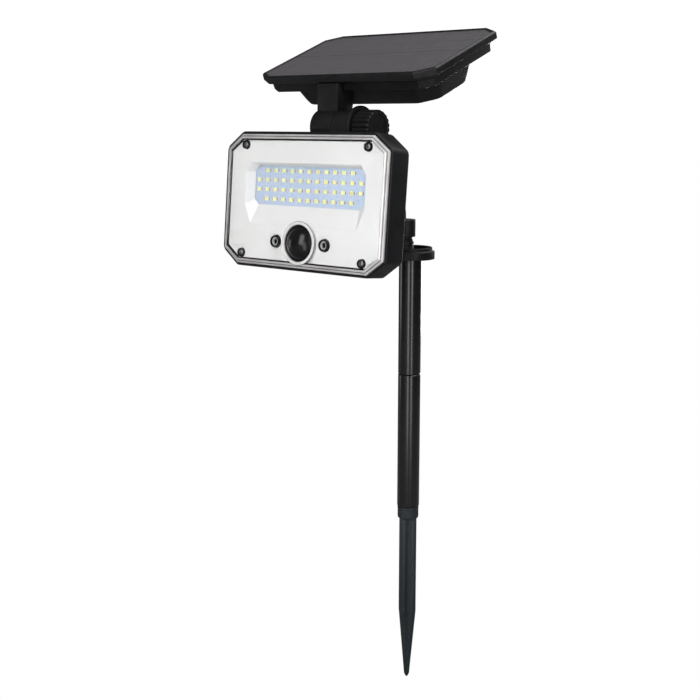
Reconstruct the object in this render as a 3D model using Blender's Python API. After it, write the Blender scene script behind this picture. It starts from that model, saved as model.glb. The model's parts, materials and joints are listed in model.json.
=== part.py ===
"""Solar flood light on a ground stake: PIR lamp head, tilting solar panel, swivel arm, tube and spike.

Metres, +Z up. The origin is on the tube's axis at soil level. The lamp faces -Y, and +X is on its right
as it is looked at from the front.
"""

import math

import bmesh
import bpy
from mathutils import Matrix, Vector

# ---------------------------------------------------------------- driving sizes
GAP = 0.0003  # clearance between pieces that touch
FIT = 0.00025  # radial clearance of a screw or a pin in its hole
PAST = 0.001  # how far a cutter runs past a face, or a boss into its wall

# Stake
TUBE_R = 0.0089
TUBE_WALL = 0.0014
LOWER_TUBE_BOTTOM = 0.0085
FLANGE_BOTTOM = 0.2094
TUBE_JOINT_Z = 0.1180
SPIGOT_LENGTH = 0.024
COLLAR_R = TUBE_R - 0.00045
SPIKE_R = TUBE_R - 0.0012
SPIKE_FIN = 0.0028
SPIKE_SHANK = 0.0812
SPIKE_LENGTH = 0.1401
SPIKE_TIP_R = 0.0018

# Base flange and its neck
FLANGE_R = TUBE_R + 0.0101
FLANGE_RIM = 0.0064
FLANGE_FLOOR = 0.0040
FLANGE_EDGE = 0.0006
RING_OUTER_R = FLANGE_R - 0.0018
RING_INNER_R = FLANGE_R - 0.0034
RING_RISE = 0.0027
NECK_FORWARD = FLANGE_R - 0.0121
NECK_R = 0.0060
NECK_FLARE_R = 0.0082
NECK_TAPER = (0.0012, 0.0054)  # from the floor up, and from the neck's top down
NECK_TOP = FLANGE_BOTTOM + 0.0160
NECK_RIB = (-0.0079, -0.0063)
STUB_R = 0.0042
STUB_TOP = FLANGE_BOTTOM + 0.0266
STUB_PILOT = 0.0115
WALL_SCREW_R = 0.0019
WALL_SCREW_CIRCLE = TUBE_R + 0.0033
WALL_SCREW_ANGLES = (90, -5, 185)

# Swivel collar and arm
SWIVEL_BOTTOM = FLANGE_BOTTOM + 0.0176
SWIVEL_TOP = FLANGE_BOTTOM + 0.0311
SWIVEL_R = 0.0080
SWIVEL_SCREW_R = 0.0016
SWIVEL_SCREW_LENGTH = 0.0120
SWIVEL_HEAD_R = 0.0028
SWIVEL_HEAD = 0.0016
SWIVEL_WASHER = 0.0005
ARM_HALF_WIDTH = 0.0045
ARM_DEPTH = 0.0090
ARM_BACK = 0.0037  # from the swivel axis forward to the arm's back edge
ARM_START = 0.0020  # the arm's lower end above the collar's
ARM_BEND_R = 0.0280
ARM_BEND_Z = FLANGE_BOTTOM + 0.0336

# Lamp head
LENS_W = 0.1500
LENS_H = 0.0927
LENS_CUT = (0.0140, 0.0103)
LENS_BEVEL = 0.0030
LENS_BEVEL_DEPTH = 0.0018
LENS_PLATE = 0.0022
LENS_DEPTH = 0.0046
LENS_LIP = 0.0038
LENS_LEDGE = 0.0036
GASKET_LIP = 0.0032
GASKET = 0.0009
HOUSING_RIM = 0.0020
HOUSING_FRONT = 0.0025
HOUSING_SIDE = 0.0200
HOUSING_SHOULDER = 0.0240
HOUSING_DEPTH = 0.0320
HOUSING_WALL = 0.0020
HOUSING_BACK_INSET = 0.0145
LAMP_TILT = math.radians(5.3)
LENS_CENTRE = (-0.1260, FLANGE_BOTTOM + 0.0503)  # y and z of the lens centre
LENS_SCREW_X = LENS_W / 2 - 0.01815
LENS_SCREW_Z = LENS_H / 2 - 0.00765
LENS_SHAFT_R = 0.0014
LENS_SHAFT = 0.0110
LENS_HEAD_R = 0.00285
LENS_HEAD = 0.0014
LENS_COUNTERBORE = 0.0012
LENS_BOSS_R = 0.0032
LENS_BOSS = (0.0062, 0.0265)
LENS_PILOT = (0.0050, 0.0162)

# LED board, reflector and sensors
LED_COLUMNS = 13
LED_ROWS = 4
LED_PITCH = (0.00795, 0.00674)
LED_SIZE = (0.0035, 0.0028, 0.0007)
LED_CENTRE_Z = LENS_H / 2 - 0.03525
LED_BOARD_MARGIN = (0.0058, 0.0053)
LED_BOARD_FRONT = 0.0086
BOARD_THICKNESS = 0.0016
SOLDER = 0.0004  # how far a chip sinks into its board's face
REFLECTOR_FRONT = LENS_PLATE + 0.0004
REFLECTOR_EDGE = 0.0042
REFLECTOR_SKIN = 0.0015
REFLECTOR_WALL = 0.0012
LED_SPREAD = ((LED_COLUMNS - 1) / 2 * LED_PITCH[0], (LED_ROWS - 1) / 2 * LED_PITCH[1])
WINDOW_HALF_W = LED_SPREAD[0] + 0.0038
WINDOW_TOP = LED_CENTRE_Z + LED_SPREAD[1] + 0.0030
WINDOW_BOTTOM = LED_CENTRE_Z - LED_SPREAD[1] - 0.0040
WINDOW_CUT = 0.0040
RECESS_HALF_W = WINDOW_HALF_W + 0.0045
RECESS_TOP = WINDOW_TOP + 0.0022
RECESS_BOTTOM = WINDOW_BOTTOM - 0.0145
RECESS_CUTS = ((0.0050, 0.0070), (0.0060, 0.0140))
PIR_R = 0.0127
PIR_Z = -LENS_H / 2 + 0.01755
PIR_RING_R = PIR_R + 0.0027
PIR_RING_RISE = 0.0008
PIR_RISE = 0.0055
PIR_SKIN = 0.0010
PIR_FLANGE = (0.0007, 0.0012)
PIR_CAN = (0.0041, 0.0047, 0.0075)  # the can's radius, its rim's radius and its front
SENSOR_X = PIR_R + 0.0102
SENSOR_R = 0.0025
SENSOR_FACE = (0.0006, 0.0009, 0.0020)
BEZEL_R = 0.0043
BEZEL_ENDS = (-0.0004, 0.0050)
CONTROL_BOARD_FRONT = 0.0120
CONTROL_BOARD_HALF = (0.0400, 0.0095)

# Mode button in the housing's back
BUTTON_AT = (LENS_W / 2 - 0.0400, -LENS_H / 2 + 0.02435)
BUTTON_R = 0.0050
BUTTON_FLANGE = (0.0012, 0.0009)
BUTTON_STEM = 0.0020
BUTTON_RISE = (0.0016, 0.0022, 0.0024)
BUTTON_TRAVEL = 0.0010
SWITCH_SIZE = (0.0060, 0.0035)
SWITCH_BOARD_HALF = (0.0090, 0.0070)

# Hinges
BOLT_R = 0.0024
BOLT_HEAD_R = BOLT_R + 0.0017
BOLT_HEAD = 0.0026
INSERT_WALL = 0.0016
HINGE_R = 0.0125
HINGE_EAR = 0.0193
HINGE_COLLAR_R = HINGE_R + 0.0028
HINGE_COLLAR = 0.0028
HINGE_AT = (0.0389, LENS_H / 2 + HINGE_R - 0.00455)  # depth and height from the lens centre
HINGE_HEAD_SINK = 0.0032
HINGE_WASHER = 0.0005
HINGE_RING = (HINGE_R - 0.0035, HINGE_R - 0.0065, 0.0012)
HINGE_BOLT_REACH = 0.0085
KNOB_LENGTH = 0.0151
KNOB_RIBS = 20
KNOB_INSERT = 0.0100
RIB_DEPTH = 0.0009
TILT_RIB_DEPTH = 0.0006
TILT_R = 0.0077
TILT_HALF = 0.0061
TILT_LUG = 0.0050
LUG_R = TILT_R + 0.0003
LUG_FOOT = 0.0020
LAMP_PIVOT = (HOUSING_DEPTH + TILT_R + 0.0043, 0.0109)  # depth and height from the lens centre
TILT_KNOB_R = TILT_R + 0.0003
TILT_KNOB_LENGTH = 0.0090
TILT_KNOB_RIBS = 12
TILT_KNOB_INSERT = 0.0070
TILT_BOLT_REACH = 0.0060

# Battery cells
PANEL_W = 0.1620
PANEL_D = 0.0946
CELL_R = 0.0091
CELL_LENGTH = 0.0650
CELL_EDGE = 0.0008
CELL_TIP = (0.0030, 0.0010)
CELL_PITCH = 2 * CELL_R + 0.0008
CONTACT = 0.0005
CONTACT_HALF = (0.0040, 0.0030)

# Solar panel
PANEL_CUT = (0.0132, 0.0093)
PANEL_THICKNESS = 0.0060
PANEL_RIM = 0.0027
PANEL_EDGE = 0.0008
PANEL_SEAT = 0.0030
PANEL_TILT = math.radians(21.2)
PANEL_FROM_HINGE = (PANEL_D / 2 + 0.0076, HINGE_R + 0.0238)  # back and up, square to the panel
PANEL_WIRE_HOLE = (0.0300, 0.0030)
PANEL_BOSS_R = 0.0029
TRAY_INSET = 0.0045
TRAY_SLOPE = 0.0012
TRAY_BOTTOM = -0.0140
TRAY_WALL = 0.0020
TRAY_FLOOR = 0.0018
TRAY_POST_R = 0.0028
TRAY_POST_TOP = -0.0080
BOX_HALF = (PANEL_W / 2 - 0.0130, PANEL_D / 2 - 0.0153)
BOX_CUT = (0.0120, 0.0090)
BOX_TAPER = 0.0060
BOX_WALL = 0.0020
BOX_BOTTOM = -(0.0095 + 2 * CELL_R + BOX_WALL + GAP)
PANEL_SCREW_AT = (PANEL_W / 2 - 0.0150, PANEL_D / 2 - 0.0143)
COVER_SCREW_AT = (BOX_HALF[0] - 0.0140, BOX_HALF[1] - 0.0140)
CELL_OPENING = (BOX_HALF[0] - 0.0200, BOX_HALF[1] - 0.0105)
CELL_OPENING_CUT = 0.0040
COVER_POST_R = 0.0045
COVER_HEAD_R = 0.0026
COVER_SINK = 0.0120
SELF_TAP_R = 0.0012
SELF_TAP_HEAD = 0.0015
ARM_SCREW_X = (-0.0155, -0.0050)
ARM_SCREW_Y = -(PANEL_D / 2 - 0.0115)
ARM_WEB_Z = -0.0200
CHARGE_BOARD_HALF = (0.0100, 0.0090)


# ---------------------------------------------------------------- scene and materials
def clear_scene():
    for obj in list(bpy.data.objects):
        bpy.data.objects.remove(obj, do_unlink=True)


def material(name, colour, roughness, metallic=0.0):
    made = bpy.data.materials.new(name)
    made.use_nodes = True
    shader = made.node_tree.nodes["Principled BSDF"]
    shader.inputs["Base Color"].default_value = (*colour, 1.0)
    shader.inputs["Roughness"].default_value = roughness
    shader.inputs["Metallic"].default_value = metallic
    made.diffuse_color = (*colour, 1.0)
    return made


# ---------------------------------------------------------------- shape helpers
def from_bmesh(name, shape, finish, parent, smooth_angle=35):
    """An object from a bmesh whose points are in its parent's frame."""
    bmesh.ops.recalc_face_normals(shape, faces=shape.faces[:])
    mesh = bpy.data.meshes.new(name)
    shape.to_mesh(mesh)
    shape.free()
    mesh.shade_smooth()
    mesh.set_sharp_from_angle(angle=math.radians(smooth_angle))
    obj = bpy.data.objects.new(name, mesh)
    bpy.context.scene.collection.objects.link(obj)
    obj.parent = parent
    if finish:
        mesh.materials.append(finish)
    return obj


def lofted(sections, closed=False):
    """A skin over outlines of equally many points. It is capped at both ends, or closed into a ring."""
    shape = bmesh.new()
    rings = [[shape.verts.new(point) for point in section] for section in sections]
    pairs = list(zip(rings, rings[1:]))
    if closed:
        pairs.append((rings[-1], rings[0]))
    else:
        shape.faces.new(rings[0])
        shape.faces.new(rings[-1])
    for lower, upper in pairs:
        count = len(lower)
        for i in range(count):
            shape.faces.new((lower[i], lower[(i + 1) % count], upper[(i + 1) % count], upper[i]))
    return shape


def about_axis(axis, radius, angle, height, centre):
    """The point at this radius, angle and height about an axis through the centre."""
    a, b = radius * math.cos(angle), radius * math.sin(angle)
    offsets = {"X": (height, a, b), "Y": (a, height, b), "Z": (a, b, height)}
    return Vector(centre) + Vector(offsets[axis])


def turned(profile, axis="Z", centre=(0, 0, 0), segments=24):
    """A turned piece. A profile that starts and ends off the axis is closed into a ring."""
    shape = bmesh.new()
    angles = [2 * math.pi * i / segments for i in range(segments)]
    rings = []
    for radius, height in profile:
        if radius == 0:
            rings.append([shape.verts.new(about_axis(axis, 0, 0, height, centre))] * segments)
        else:
            rings.append([shape.verts.new(about_axis(axis, radius, a, height, centre)) for a in angles])
    pairs = list(zip(rings, rings[1:]))
    if profile[0][0] > 0 and profile[-1][0] > 0:
        pairs.append((rings[-1], rings[0]))
    for lower, upper in pairs:
        for i in range(segments):
            j = (i + 1) % segments
            corners = list(dict.fromkeys((lower[i], lower[j], upper[j], upper[i])))
            if len(corners) > 2:
                shape.faces.new(corners)
    return shape


def cylinder(radius, start, end, axis="Z", centre=(0, 0, 0), segments=20):
    return turned([(0, start), (radius, start), (radius, end), (0, end)], axis, centre, segments)


def tube(outer, inner, start, end, axis="Z", centre=(0, 0, 0), segments=20):
    return turned([(inner, start), (outer, start), (outer, end), (inner, end)], axis, centre, segments)


def box(low, high):
    xs, ys, zs = zip(low, high)
    sections = [[(xs[0], ys[0], z), (xs[1], ys[0], z), (xs[1], ys[1], z), (xs[0], ys[1], z)] for z in zs]
    return lofted(sections)


def octagon(half_w, half_h, cut, centre=(0.0, 0.0)):
    """A rectangle with its corners cut off: cut[0] along the width, cut[1] along the height."""
    cut_w, cut_h = cut
    quarter = [(half_w, half_h - cut_h), (half_w - cut_w, half_h)]
    points = quarter + [(-a, b) for a, b in reversed(quarter)]
    points += [(-a, -b) for a, b in quarter] + [(a, -b) for a, b in reversed(quarter)]
    return [(centre[0] + a, centre[1] + b) for a, b in points]


def facing(outline, depth):
    """The outline stood up at this depth."""
    return [(x, depth, z) for x, z in outline]


def lying(outline, height):
    return [(x, y, height) for x, y in outline]


def across(outline, start, end):
    """A plate between two x values from an outline of (y, z) points."""
    return lofted([[(x, y, z) for y, z in outline] for x in (start, end)])


def arc(centre, radius, start, end, steps):
    """Points of a circle arc from one angle to another, in degrees."""
    angles = [math.radians(start + (end - start) * i / steps) for i in range(steps + 1)]
    return [(centre[0] + radius * math.cos(a), centre[1] + radius * math.sin(a)) for a in angles]


def ribbed(radius, depth, ribs, start, end, centre=(0, 0, 0)):
    """A knob with ribs along X."""
    outline = []
    for i in range(ribs):
        for share, r in ((0.0, radius - depth), (0.3, radius), (0.7, radius)):
            angle = 2 * math.pi * (i + share) / ribs
            outline.append((centre[1] + r * math.cos(angle), centre[2] + r * math.sin(angle)))
    return across(outline, centre[0] + start, centre[0] + end)


def combine(target, shapes, operation):
    """Adds or cuts each shape, which is in the target's own frame."""
    for shape in shapes:
        count = len(target.modifiers) + 1
        helper = from_bmesh(f"{target.name}_{operation.lower()}_{count}", shape, None, target.parent)
        helper.hide_render = True
        helper.display_type = "WIRE"
        modifier = target.modifiers.new(f"{operation.title()} {count}", "BOOLEAN")
        modifier.operation = operation
        modifier.object = helper
    return target


def add(target, *shapes):
    return combine(target, shapes, "UNION")


def cut(target, *shapes):
    return combine(target, shapes, "DIFFERENCE")


def empty(name, location, parent=None, tilt=0.0):
    obj = bpy.data.objects.new(name, None)
    bpy.context.scene.collection.objects.link(obj)
    obj.empty_display_size = 0.01
    obj.location = location
    obj.rotation_euler = (tilt, 0, 0)
    obj.parent = parent
    return obj


def screw(name, finish, parent, axis, centre, head_r, head, shaft_r, shaft, outward=-1, segments=12):
    """A screw whose head's underside is at the centre. Its head points outward along the axis."""
    profile = [(0, -outward * shaft), (shaft_r, -outward * shaft), (shaft_r, 0)]
    profile += [(head_r, 0), (head_r * 0.92, outward * head), (0, outward * head)]
    made = from_bmesh(name, turned(profile, axis, centre, segments), finish, parent)
    slot_low = {"X": 0, "Y": 1, "Z": 2}[axis]
    arms = []
    for turn in range(2):
        low = [-head_r * 0.16] * 3
        high = [head_r * 0.16] * 3
        long_way = [i for i in range(3) if i != slot_low][turn]
        low[long_way], high[long_way] = -head_r * 0.62, head_r * 0.62
        ends = sorted((outward * head * 0.45, outward * head * 1.5))
        low[slot_low], high[slot_low] = ends
        arms.append(box([c + v for c, v in zip(centre, low)], [c + v for c, v in zip(centre, high)]))
    return cut(made, *arms)


# ---------------------------------------------------------------- stake
def tube_profile(bottom, top, spigot=0.0):
    """A hollow tube, with a narrower spigot below its bottom where one is asked for."""
    bore = TUBE_R - TUBE_WALL
    if not spigot:
        return [(bore, bottom), (TUBE_R, bottom), (TUBE_R, top), (bore, top)]
    outer = bore - GAP
    inner = outer - TUBE_WALL
    profile = [(inner, bottom - spigot), (outer, bottom - spigot), (outer, bottom), (TUBE_R, bottom)]
    shoulder = bottom + TUBE_WALL
    return profile + [(TUBE_R, top), (bore, top), (bore, shoulder + bore - inner), (inner, shoulder)]


def cross_outline(half, fin, steps=3):
    """A cross of four fins of the same reach, with a rounded outer end on each."""
    points = []
    for quarter in range(4):
        turn = Matrix.Rotation(quarter * math.pi / 2, 2)
        reach = math.sqrt(half * half - fin * fin / 4)
        spread = math.degrees(math.asin(fin / 2 / half))
        end = [(reach, -fin / 2)] + arc((0, 0), half, -spread, spread, steps)[1:-1] + [(reach, fin / 2)]
        for point in end + [(fin * 0.9, fin * 0.9)]:
            points.append(tuple(turn @ Vector(point)))
    return points


def build_stake():
    shank = [lying(cross_outline(SPIKE_R, SPIKE_FIN), z) for z in (-PAST / 2, -SPIKE_SHANK)]
    tip = lying(cross_outline(SPIKE_TIP_R, SPIKE_TIP_R * 0.8), -SPIKE_LENGTH + SPIKE_TIP_R * 0.5)
    point = lying(cross_outline(SPIKE_TIP_R * 0.5, SPIKE_TIP_R * 0.4), -SPIKE_LENGTH)
    spike = from_bmesh("ground_spike", lofted(shank + [tip, point]), SPIKE_BLACK, None)
    spigot_r = TUBE_R - TUBE_WALL - GAP
    collar_top = LOWER_TUBE_BOTTOM - GAP
    top = collar_top + SPIGOT_LENGTH
    collar = [(0, -PAST), (COLLAR_R, -PAST), (COLLAR_R, collar_top), (spigot_r, collar_top)]
    add(spike, turned(collar + [(spigot_r, top), (0, top)]))

    lower = tube_profile(LOWER_TUBE_BOTTOM, TUBE_JOINT_Z - GAP)
    from_bmesh("lower_tube", turned(lower), TUBE_BLACK, None)
    upper = tube_profile(TUBE_JOINT_Z, FLANGE_BOTTOM - GAP, SPIGOT_LENGTH)
    from_bmesh("upper_tube", turned(upper), TUBE_BLACK, None)


def build_flange():
    floor = FLANGE_BOTTOM + FLANGE_FLOOR
    rim = FLANGE_BOTTOM + FLANGE_RIM
    spigot_r = TUBE_R - TUBE_WALL - GAP
    spigot_end = FLANGE_BOTTOM - SPIGOT_LENGTH * 0.8
    bore = spigot_r - TUBE_WALL
    profile = [(0, floor), (RING_INNER_R, floor), (RING_INNER_R, rim + RING_RISE)]
    profile += [(RING_OUTER_R, rim + RING_RISE), (RING_OUTER_R, rim), (FLANGE_R - FLANGE_EDGE, rim)]
    profile += [(FLANGE_R, rim - FLANGE_EDGE), (FLANGE_R, FLANGE_BOTTOM), (spigot_r, FLANGE_BOTTOM)]
    profile += [(spigot_r, spigot_end), (bore, spigot_end), (bore, FLANGE_BOTTOM), (0, FLANGE_BOTTOM)]
    flange = from_bmesh("base_flange", turned(profile, segments=28), HOUSING_BLACK, None)

    axis = (0, -NECK_FORWARD, 0)
    neck = [(0, floor - PAST), (NECK_FLARE_R, floor - PAST), (NECK_FLARE_R, floor + NECK_TAPER[0])]
    neck += [(NECK_R, NECK_TOP - NECK_TAPER[1]), (NECK_R, NECK_TOP), (STUB_R, NECK_TOP)]
    neck += [(STUB_R, STUB_TOP), (0, STUB_TOP)]
    add(flange, turned(neck, centre=axis))
    for side in (-1, 1):
        ends = sorted((side * (NECK_FLARE_R - 2 * PAST), side * (RING_INNER_R + PAST / 2)))
        low = (ends[0], NECK_RIB[0], floor - PAST / 2)
        add(flange, box(low, (ends[1], NECK_RIB[1], rim - PAST / 2)))
    for angle in WALL_SCREW_ANGLES:
        spot = about_axis("Z", WALL_SCREW_CIRCLE, math.radians(angle), 0, (0, 0, 0))
        cut(flange, cylinder(WALL_SCREW_R, FLANGE_BOTTOM - PAST, floor + PAST, centre=spot, segments=12))
    pilot = cylinder(SWIVEL_SCREW_R + FIT, STUB_TOP - STUB_PILOT, STUB_TOP + PAST, centre=axis, segments=12)
    cut(flange, pilot)


# ---------------------------------------------------------------- swivel arm
def build_swivel(swivel_axis):
    """The collar that turns on the neck, and the bent arm that rises from it to the lamp."""
    def local(point):
        return (point[0] + NECK_FORWARD, point[1] - SWIVEL_BOTTOM)

    back = -NECK_FORWARD - ARM_BACK
    bend = (back - ARM_BEND_R, ARM_BEND_Z)
    outer = [(back, SWIVEL_BOTTOM + ARM_START)] + arc(bend, ARM_BEND_R, 0, 90, 10)
    outer.append((PIVOT_Y, ARM_BEND_Z + ARM_BEND_R))
    inner = arc(bend, ARM_BEND_R - ARM_DEPTH, 90, 0, 8)
    inner.insert(0, (PIVOT_Y, ARM_BEND_Z + ARM_BEND_R - ARM_DEPTH))
    inner.append((back - ARM_DEPTH, SWIVEL_BOTTOM + ARM_START))
    outline = [local(point) for point in outer + inner]
    arm = from_bmesh("lamp_arm", across(outline, -ARM_HALF_WIDTH, ARM_HALF_WIDTH), HOUSING_BLACK, swivel_axis)

    height = SWIVEL_TOP - SWIVEL_BOTTOM
    add(arm, cylinder(SWIVEL_R, 0, height, segments=32))
    pivot = (0, *local((PIVOT_Y, PIVOT_Z)))
    add(arm, cylinder(TILT_R, -TILT_HALF, TILT_HALF, "X", pivot))
    stub_height = STUB_TOP - SWIVEL_BOTTOM
    socket = cylinder(STUB_R + GAP, -PAST, stub_height + GAP)
    seat = height - SWIVEL_HEAD - SWIVEL_WASHER - 2 * GAP
    bore = cylinder(SWIVEL_SCREW_R + FIT, PAST, height, segments=16)
    recess = cylinder(SWIVEL_HEAD_R + GAP, seat, height + PAST, segments=20)
    bolt_hole = cylinder(BOLT_R + FIT, -TILT_HALF * 2, TILT_HALF * 2, "X", pivot, 20)
    cut(arm, socket, bore, recess, bolt_hole)

    washer = tube(SWIVEL_HEAD_R, SWIVEL_SCREW_R + FIT, seat + GAP, seat + GAP + SWIVEL_WASHER, segments=20)
    from_bmesh("swivel_washer", washer, STEEL, swivel_axis)
    head_seat = (0, 0, seat + 2 * GAP + SWIVEL_WASHER)
    screw("swivel_screw", STEEL, swivel_axis, "Z", head_seat, SWIVEL_HEAD_R, SWIVEL_HEAD,
          SWIVEL_SCREW_R, SWIVEL_SCREW_LENGTH, outward=1)
    friction = tube(NECK_R - 2 * GAP, STUB_R + GAP, NECK_TOP - SWIVEL_BOTTOM + GAP, -GAP)
    from_bmesh("swivel_friction_ring", friction, RUBBER, swivel_axis)


# ---------------------------------------------------------------- lamp head
def lamp_outline(inset=0.0):
    """The lens outline moved inward by an inset, or outward by a negative one."""
    cut_w = LENS_CUT[0] - inset * 0.35
    cut_h = LENS_CUT[1] - inset * 0.30
    return octagon(LENS_W / 2 - inset, LENS_H / 2 - inset, (cut_w, cut_h))


def disc(centre, radius, start, end, segments=16):
    """A cylinder through the lamp from front to back, at (x, z)."""
    return cylinder(radius, start, end, "Y", (centre[0], 0, centre[1]), segments)


def lens_screw_spots():
    return [(sx * LENS_SCREW_X, sz * LENS_SCREW_Z) for sz in (1, -1) for sx in (-1, 1)]


def build_housing(lamp):
    rim = lamp_outline(-HOUSING_RIM)
    seat = lamp_outline(-GAP)
    ledge = lamp_outline(LENS_LEDGE)
    back_half = (LENS_W / 2 - HOUSING_BACK_INSET, LENS_H / 2 - HOUSING_BACK_INSET)
    back = octagon(*back_half, LENS_CUT)
    shoulder = lamp_outline(HOUSING_RIM)
    ledge_depth = LENS_DEPTH + GASKET + GAP
    outside = [facing(back, HOUSING_DEPTH), facing(shoulder, HOUSING_SHOULDER)]
    outside += [facing(rim, HOUSING_SIDE), facing(rim, HOUSING_FRONT)]
    housing = from_bmesh("rear_housing", lofted(outside), HOUSING_BLACK, lamp)

    ear = arc(HINGE_AT, HINGE_R, -10, 180, 14)
    ear_root = ((HINGE_AT[0] - HINGE_R, -0.0093), (0.0210, -0.0143), (0.0290, -0.0293), (0.0350, -0.0273))
    ear += [(depth, HINGE_AT[1] + drop) for depth, drop in ear_root]
    hinge = (0, *HINGE_AT)
    add(housing, across(ear, GAP / 2, HINGE_EAR))
    add(housing, cylinder(HINGE_R, GAP / 2, HINGE_EAR, "X", hinge, 26))
    add(housing, cylinder(HINGE_COLLAR_R, HINGE_EAR - HINGE_COLLAR, HINGE_EAR, "X", hinge, 26))
    lug = arc(LAMP_PIVOT, LUG_R, -90, 90, 8)
    lug += [(HOUSING_DEPTH - PAST, LAMP_PIVOT[1] + LUG_R + LUG_FOOT)]
    lug += [(HOUSING_DEPTH - PAST, LAMP_PIVOT[1] - LUG_R - LUG_FOOT)]
    for side in (-1, 1):
        ends = sorted((side * (TILT_HALF + GAP), side * (TILT_HALF + GAP + TILT_LUG)))
        add(housing, across(lug, *ends))

    cavity_back = octagon(back_half[0] - HOUSING_WALL, back_half[1] - HOUSING_WALL, LENS_CUT)
    inside = [facing(seat, 0), facing(seat, ledge_depth), facing(ledge, ledge_depth)]
    inside += [facing(ledge, HOUSING_SIDE + PAST), facing(cavity_back, HOUSING_DEPTH - HOUSING_WALL)]
    cut(housing, lofted(inside))
    for spot in lens_screw_spots():
        add(housing, disc(spot, LENS_BOSS_R, *LENS_BOSS, 12))
        cut(housing, disc(spot, LENS_SHAFT_R + FIT, *LENS_PILOT, 12))
    for centre in (hinge, (0, *LAMP_PIVOT)):
        cut(housing, cylinder(BOLT_R + FIT, -2 * HINGE_EAR, 2 * HINGE_EAR, "X", centre, 20))
    cut(housing, tube(HINGE_RING[0] + GAP, HINGE_RING[1] - GAP, 0, HINGE_RING[2], "X", hinge))
    through = (HOUSING_DEPTH - 2 * HOUSING_WALL, HOUSING_DEPTH + HOUSING_WALL)
    cut(housing, disc(BUTTON_AT, BUTTON_R + GAP, *through))


def build_lens(lamp):
    face = lamp_outline(LENS_BEVEL)
    edge = lamp_outline()
    cavity = lamp_outline(LENS_LIP)
    sections = [facing(face, 0), facing(edge, LENS_BEVEL_DEPTH), facing(edge, LENS_DEPTH)]
    sections += [facing(cavity, LENS_DEPTH), facing(cavity, LENS_PLATE)]
    lens = from_bmesh("front_lens", lofted(sections), CLEAR, lamp)
    ring = tube(PIR_RING_R, PIR_R + 2 * GAP, -PIR_RING_RISE, LENS_PLATE, "Y", (0, 0, PIR_Z), 24)
    add(lens, ring)
    through = (-2 * PAST, LENS_PLATE + PAST)
    cut(lens, disc((0, PIR_Z), PIR_R + GAP, *through, 24))
    for side in (-1, 1):
        cut(lens, disc((side * SENSOR_X, PIR_Z), BEZEL_R + GAP, *through))
    for spot in lens_screw_spots():
        cut(lens, disc(spot, LENS_HEAD_R + GAP, -PAST, LENS_COUNTERBORE))
        cut(lens, disc(spot, LENS_SHAFT_R + FIT, *through, 12))

    gasket = [(GAP, GAP), (GASKET_LIP, GAP), (GASKET_LIP, GASKET), (GAP, GASKET)]
    ring = [facing(lamp_outline(inset), LENS_DEPTH + depth) for inset, depth in gasket]
    from_bmesh("lens_gasket", lofted(ring, closed=True), RUBBER, lamp)

    for i, spot in enumerate(lens_screw_spots(), 1):
        seat = (spot[0], LENS_COUNTERBORE - GAP / 2, spot[1])
        screw(f"lens_screw_{i}", STEEL, lamp, "Y", seat, LENS_HEAD_R, LENS_HEAD, LENS_SHAFT_R, LENS_SHAFT)


def window_outline(grow=0.0):
    middle = (WINDOW_TOP + WINDOW_BOTTOM) / 2
    half_h = (WINDOW_TOP - WINDOW_BOTTOM) / 2
    return octagon(WINDOW_HALF_W + grow, half_h + grow, (WINDOW_CUT, WINDOW_CUT), (0, middle))


def recess_outline(grow=0.0):
    """The recess edge: short corner cuts at the top, and long steep ones at the bottom."""
    half_w, top, bottom = RECESS_HALF_W + grow, RECESS_TOP + grow, RECESS_BOTTOM - grow
    top_cut, bottom_cut = RECESS_CUTS
    left = [(-half_w + top_cut[0], top), (-half_w, top - top_cut[1])]
    left += [(-half_w, bottom + bottom_cut[1]), (-half_w + bottom_cut[0], bottom)]
    right = [(-x, z) for x, z in left]
    return [right[1], right[0], left[0], left[1], left[2], left[3], right[3], right[2]]


def build_reflector(lamp):
    front = REFLECTOR_FRONT
    back = front + REFLECTOR_SKIN
    outer = lamp_outline(REFLECTOR_EDGE)
    skin = REFLECTOR_WALL
    floor = LED_BOARD_FRONT - GAP
    sections = [facing(outer, front), facing(outer, back), facing(recess_outline(skin), back)]
    sections += [facing(window_outline(skin), floor), facing(window_outline(), floor)]
    sections.append(facing(recess_outline(), front))
    reflector = from_bmesh("reflector", lofted(sections, closed=True), WHITE, lamp)
    cut(reflector, disc((0, PIR_Z), PIR_R + PIR_FLANGE[0] + GAP, 0, floor, 32))
    for side in (-1, 1):
        cut(reflector, disc((side * SENSOR_X, PIR_Z), BEZEL_R + 2 * GAP, 0, floor))
    for spot in lens_screw_spots():
        cut(reflector, disc(spot, LENS_SHAFT_R + 2 * FIT, 0, floor, 12))


def led_spots():
    """Every place of the grid but its four corners."""
    spots = []
    for row in range(LED_ROWS):
        for column in range(LED_COLUMNS):
            if row in (0, LED_ROWS - 1) and column in (0, LED_COLUMNS - 1):
                continue
            x = column * LED_PITCH[0] - LED_SPREAD[0]
            z = LED_CENTRE_Z + row * LED_PITCH[1] - LED_SPREAD[1]
            spots.append((x, z))
    return spots


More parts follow.
